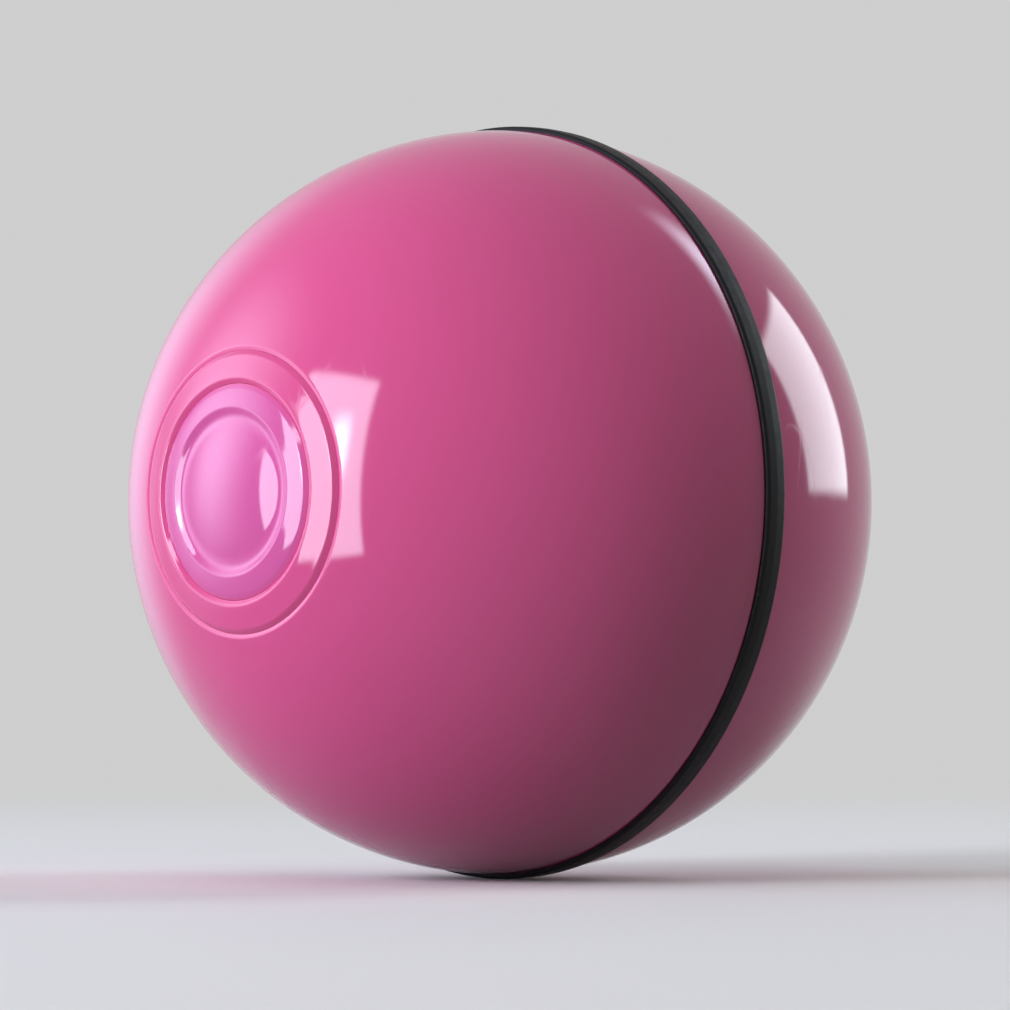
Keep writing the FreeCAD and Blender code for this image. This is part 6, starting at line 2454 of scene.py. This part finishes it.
    def build(self, wardrobe: Wardrobe, drum: Drum) -> None:
        """Makes both boards and all that stands on them.

        Args:
            wardrobe: what dresses them.
            drum: the drum whose lid has the board's posts.
        """
        wardrobe.wear("control_board", self.board(drum.board_posts), "main_board")
        screws = [SMALL_SCREW.surface((x, y, self.board_z[1]), DOWN, 4.38) for x, y in drum.board_posts]
        wardrobe.wear("control_board_screws", joined(screws), "board_screws")
        wardrobe.wear("board_parts", self.parts(), "board_components")
        wardrobe.wear("charging_lamp", self.lamp_surface(), "charge_light")
        wardrobe.wear("motion_sensor", self.sensor_surface(), "vibration_sensor")
        body, plunger, board = self.switch()
        wardrobe.wear("push_switch", body, "switch_body")
        wardrobe.wear("switch_key", plunger, "switch_plunger")
        wardrobe.wear("switch_card", board, "switch_board")
        shell, tongue = self.socket_surfaces()
        wardrobe.wear("charging_socket", shell, "usb_port")
        wardrobe.wear("socket_tongue", tongue, "usb_tongue")


# Light, floor and camera

@dataclass
class Softbox:
    """One rectangular studio light, placed by its direction from the ball as the camera sees it."""

    name: str
    side_deg: float
    up_deg: float
    distance: float
    width: float
    height: float
    radiance: float
    colour: Colour = (1.0, 1.0, 1.0)
    soft: float = 0.12
    roll_deg: float = 0.0
    in_gloss: bool = True

    def emission(self, tree: Tree) -> None:
        """Full strength in the middle, falling smoothly to nothing over the soft share at each edge.

        Args:
            tree: the light's tree.
        """
        across = tree.parts(tree.add("ShaderNodeNewGeometry").outputs["Parametric"])
        middles = [tree.math("ABSOLUTE", tree.math("SUBTRACT", across[i], 0.5)) for i in (0, 1)]
        falls = [tree.ramp(tree.math("SUBTRACT", 0.5, middle), 0.0, self.soft) for middle in middles]
        inputs = {"Color": self.colour, "Strength": tree.math("MULTIPLY", *falls)}
        tree.add("ShaderNodeOutputLight", {"Surface": tree.add("ShaderNodeEmission", inputs).outputs[0]})


@dataclass
class Studio:
    """Plain pale stage, soft lights and the camera at the photograph's angle."""

    azimuth: float = 45.5
    elevation: float = -2.29
    distance: float = 0.4256
    lens: float = 175.9
    aim_right: float = 0.447
    aim_up: float = -0.233
    floor_z: float = -32.4
    floor_size: float = 6.0
    pale: Colour = (0.88, 0.86, 0.83)
    backdrop: float = 0.62
    ambient: float = 0.11
    warm: Colour = (1.0, 0.90, 0.78)
    bounce: float = 0.26
    near: float = 0.10
    far: float = 0.45

    def way(self, side_deg: float, up_deg: float) -> Vector:
        """Unit vector from the ball, by the angles to the side of the camera and up from the floor."""
        a, e = math.radians(self.azimuth + side_deg), math.radians(up_deg)
        return Vector((math.sin(a) * math.cos(e), -math.cos(a) * math.cos(e), math.sin(e)))

    def camera(self) -> None:
        """Camera whose aim sets the ball's middle where the photograph has it."""
        data = bpy.data.cameras.new("camera")
        data.lens = self.lens
        data.clip_start, data.clip_end = 0.01, 20.0
        camera = bpy.data.objects.new("camera", data)
        bpy.context.scene.collection.objects.link(camera)
        back = self.way(0.0, self.elevation)
        right = Vector((0, 0, 1)).cross(back).normalized()
        up = back.cross(right)
        aim = (right * self.aim_right + up * self.aim_up) * MM
        camera.location = aim + back * self.distance
        camera.rotation_euler = back.to_track_quat("Z", "Y").to_euler()
        bpy.context.scene.camera = camera

    def softboxes(self, boxes: Sequence[Softbox]) -> None:
        """Area lights that face the ball, seen in its gloss but not by the camera.

        Args:
            boxes: the lights; a radiance L over an area A takes a power of pi L A.
        """
        for box in boxes:
            way, roll = self.way(box.side_deg, box.up_deg), Quaternion((0, 0, 1), math.radians(box.roll_deg))
            data = bpy.data.lights.new(box.name, "AREA")
            data.shape = "RECTANGLE"
            data.size, data.size_y = box.width, box.height
            data.energy = math.pi * box.radiance * box.width * box.height
            data.use_nodes = True
            data.node_tree.nodes.clear()
            box.emission(Tree(data.node_tree))
            light = bpy.data.objects.new(box.name, data)
            light.location = way * box.distance
            light.rotation_euler = (way.to_track_quat("Z", "Y") @ roll).to_euler()
            light.visible_camera, light.visible_glossy = False, box.in_gloss
            bpy.context.scene.collection.objects.link(light)

    def seen(self, tree: Tree) -> tuple[Socket, Socket]:
        """Which rays show the backdrop.

        Args:
            tree: the tree that asks.

        Returns:
            1 for a ray from the camera, and 1 for one off gloss or through glass.
        """
        paths = tree.add("ShaderNodeLightPath").outputs
        gloss = tree.math("MAXIMUM", paths["Is Glossy Ray"], paths["Is Transmission Ray"])
        return paths["Is Camera Ray"], gloss

    def floor(self) -> None:
        """Large pale floor, seen from above only, that fades into the backdrop away from the ball.

        In gloss and through glass it is clear there, so that both show the backdrop and the lights.
        """
        corners = np.array([[-1, -1], [1, -1], [1, 1], [-1, 1]], float) * self.floor_size / MM
        points = np.column_stack([corners, np.full(4, self.floor_z)])
        floor = make_object("floor", Surface(points, [np.array([[0, 1, 2, 3]])]), False)
        material = bpy.data.materials.new("pale floor")
        material.use_nodes = True
        material.node_tree.nodes.clear()
        tree = Tree(material.node_tree)
        place = tree.place()
        cloud = tree.noise(place, 6.0)
        colour = tree.mix(cloud, tuple(c * 0.98 for c in self.pale), self.pale)
        camera, gloss = self.seen(tree)
        dim = tree.ramp(tree.math("MAXIMUM", camera, gloss), 0.0, 1.0, self.bounce, 1.0)
        colour = tree.mix(dim, (0.0, 0.0, 0.0), colour)
        rough = tree.ramp(cloud, 0.2, 0.8, 0.65, 0.8)
        inputs = {"Base Color": colour, "Roughness": rough, "Specular IOR Level": 0.2}
        shader = tree.add("ShaderNodeBsdfPrincipled", inputs)
        away = tree.length(tree.stretched(place, (1.0, 1.0, 0.0)))
        fade = tree.math("MULTIPLY", tree.ramp(away, self.near, self.far), camera)
        plain = tree.add("ShaderNodeEmission", {"Color": (1.0, 1.0, 1.0), "Strength": self.backdrop})
        faded = tree.add("ShaderNodeMixShader", {0: fade, 1: shader.outputs[0], 2: plain.outputs[0]})
        clear = tree.add("ShaderNodeBsdfTransparent")
        through = tree.math("MULTIPLY", tree.ramp(away, self.near * 0.3, self.near), gloss)
        hidden = tree.math("MAXIMUM", tree.add("ShaderNodeNewGeometry").outputs["Backfacing"], through)
        both = tree.add("ShaderNodeMixShader", {0: hidden, 1: faded.outputs[0], 2: clear.outputs[0]})
        tree.add("ShaderNodeOutputMaterial", {"Surface": both.outputs[0]})
        floor.data.materials.append(material)

    def world(self) -> None:
        """Even pale surroundings, brighter where they are seen than as light on the object."""
        world = bpy.data.worlds.new("studio")
        bpy.context.scene.world = world
        world.use_nodes = True
        world.node_tree.nodes.clear()
        tree = Tree(world.node_tree)
        seen = tree.math("MAXIMUM", *self.seen(tree))
        strength = tree.math("MULTIPLY_ADD", seen, self.backdrop - self.ambient, self.ambient)
        colour = tree.mix(seen, self.warm, (1.0, 1.0, 1.0))
        light = tree.add("ShaderNodeBackground", {"Color": colour, "Strength": strength})
        tree.add("ShaderNodeOutputWorld", {"Surface": light.outputs[0]})

    def build(self) -> None:
        """Sets the whole stage."""
        self.camera()
        self.softboxes((
            Softbox("window", -54.0, 8.3, 0.9, 0.42, 0.87, 9.0, (0.93, 0.98, 1.18), 0.06),
            Softbox("window_middle", -49.5, 13.5, 0.88, 0.13, 0.36, 18.0, soft=0.4),
            Softbox("left_panel", -100.0, 14.0, 1.1, 1.2, 1.7, 3.8, (0.84, 0.96, 1.24), 0.5),
            Softbox("left_rear_panel", -146.0, 10.0, 1.1, 1.0, 1.5, 0.95, (0.7, 1.0, 1.3), 0.5),
            Softbox("overhead", -20.0, 68.0, 1.2, 1.2, 1.0, 0.9, soft=0.3, in_gloss=False),
            Softbox("rear_fill", 178.0, 25.0, 1.2, 1.3, 1.0, 0.8, soft=0.3, in_gloss=False),
            Softbox("back_window", 120.0, 17.0, 0.9, 0.45, 0.5, 5.0, (0.90, 1.0, 1.05), 0.08),
            Softbox("high_window", 115.0, 44.0, 1.0, 0.75, 0.2, 8.0, (0.88, 0.95, 1.15), 0.5, 40.0),
        ))
        self.floor()
        self.world()
        bpy.context.scene.view_settings.view_transform = "Standard"


def main() -> None:
    """Builds every piece round the frame and reports it."""
    logging.basicConfig(level=logging.INFO, format="%(name)s: %(message)s")
    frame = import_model()
    wardrobe = Wardrobe(frame["record"])
    wardrobe.dress_nodes(frame["nodes"])
    ball = Ball()
    Shells(ball, ScrewThread()).build(wardrobe)
    Band(ball).build(wardrobe)
    PoleCaps(ball).build(wardrobe)
    Axle().build(wardrobe)
    train, drum = GearTrain(), Drum()
    train.build(wardrobe)
    drum.build(wardrobe, train.centres())
    Motor().build(wardrobe, train.centres()[2])
    PowerPack().build(wardrobe, drum)
    Electronics().build(wardrobe, drum)
    Studio().build()


if __name__ == "__main__":
    main()
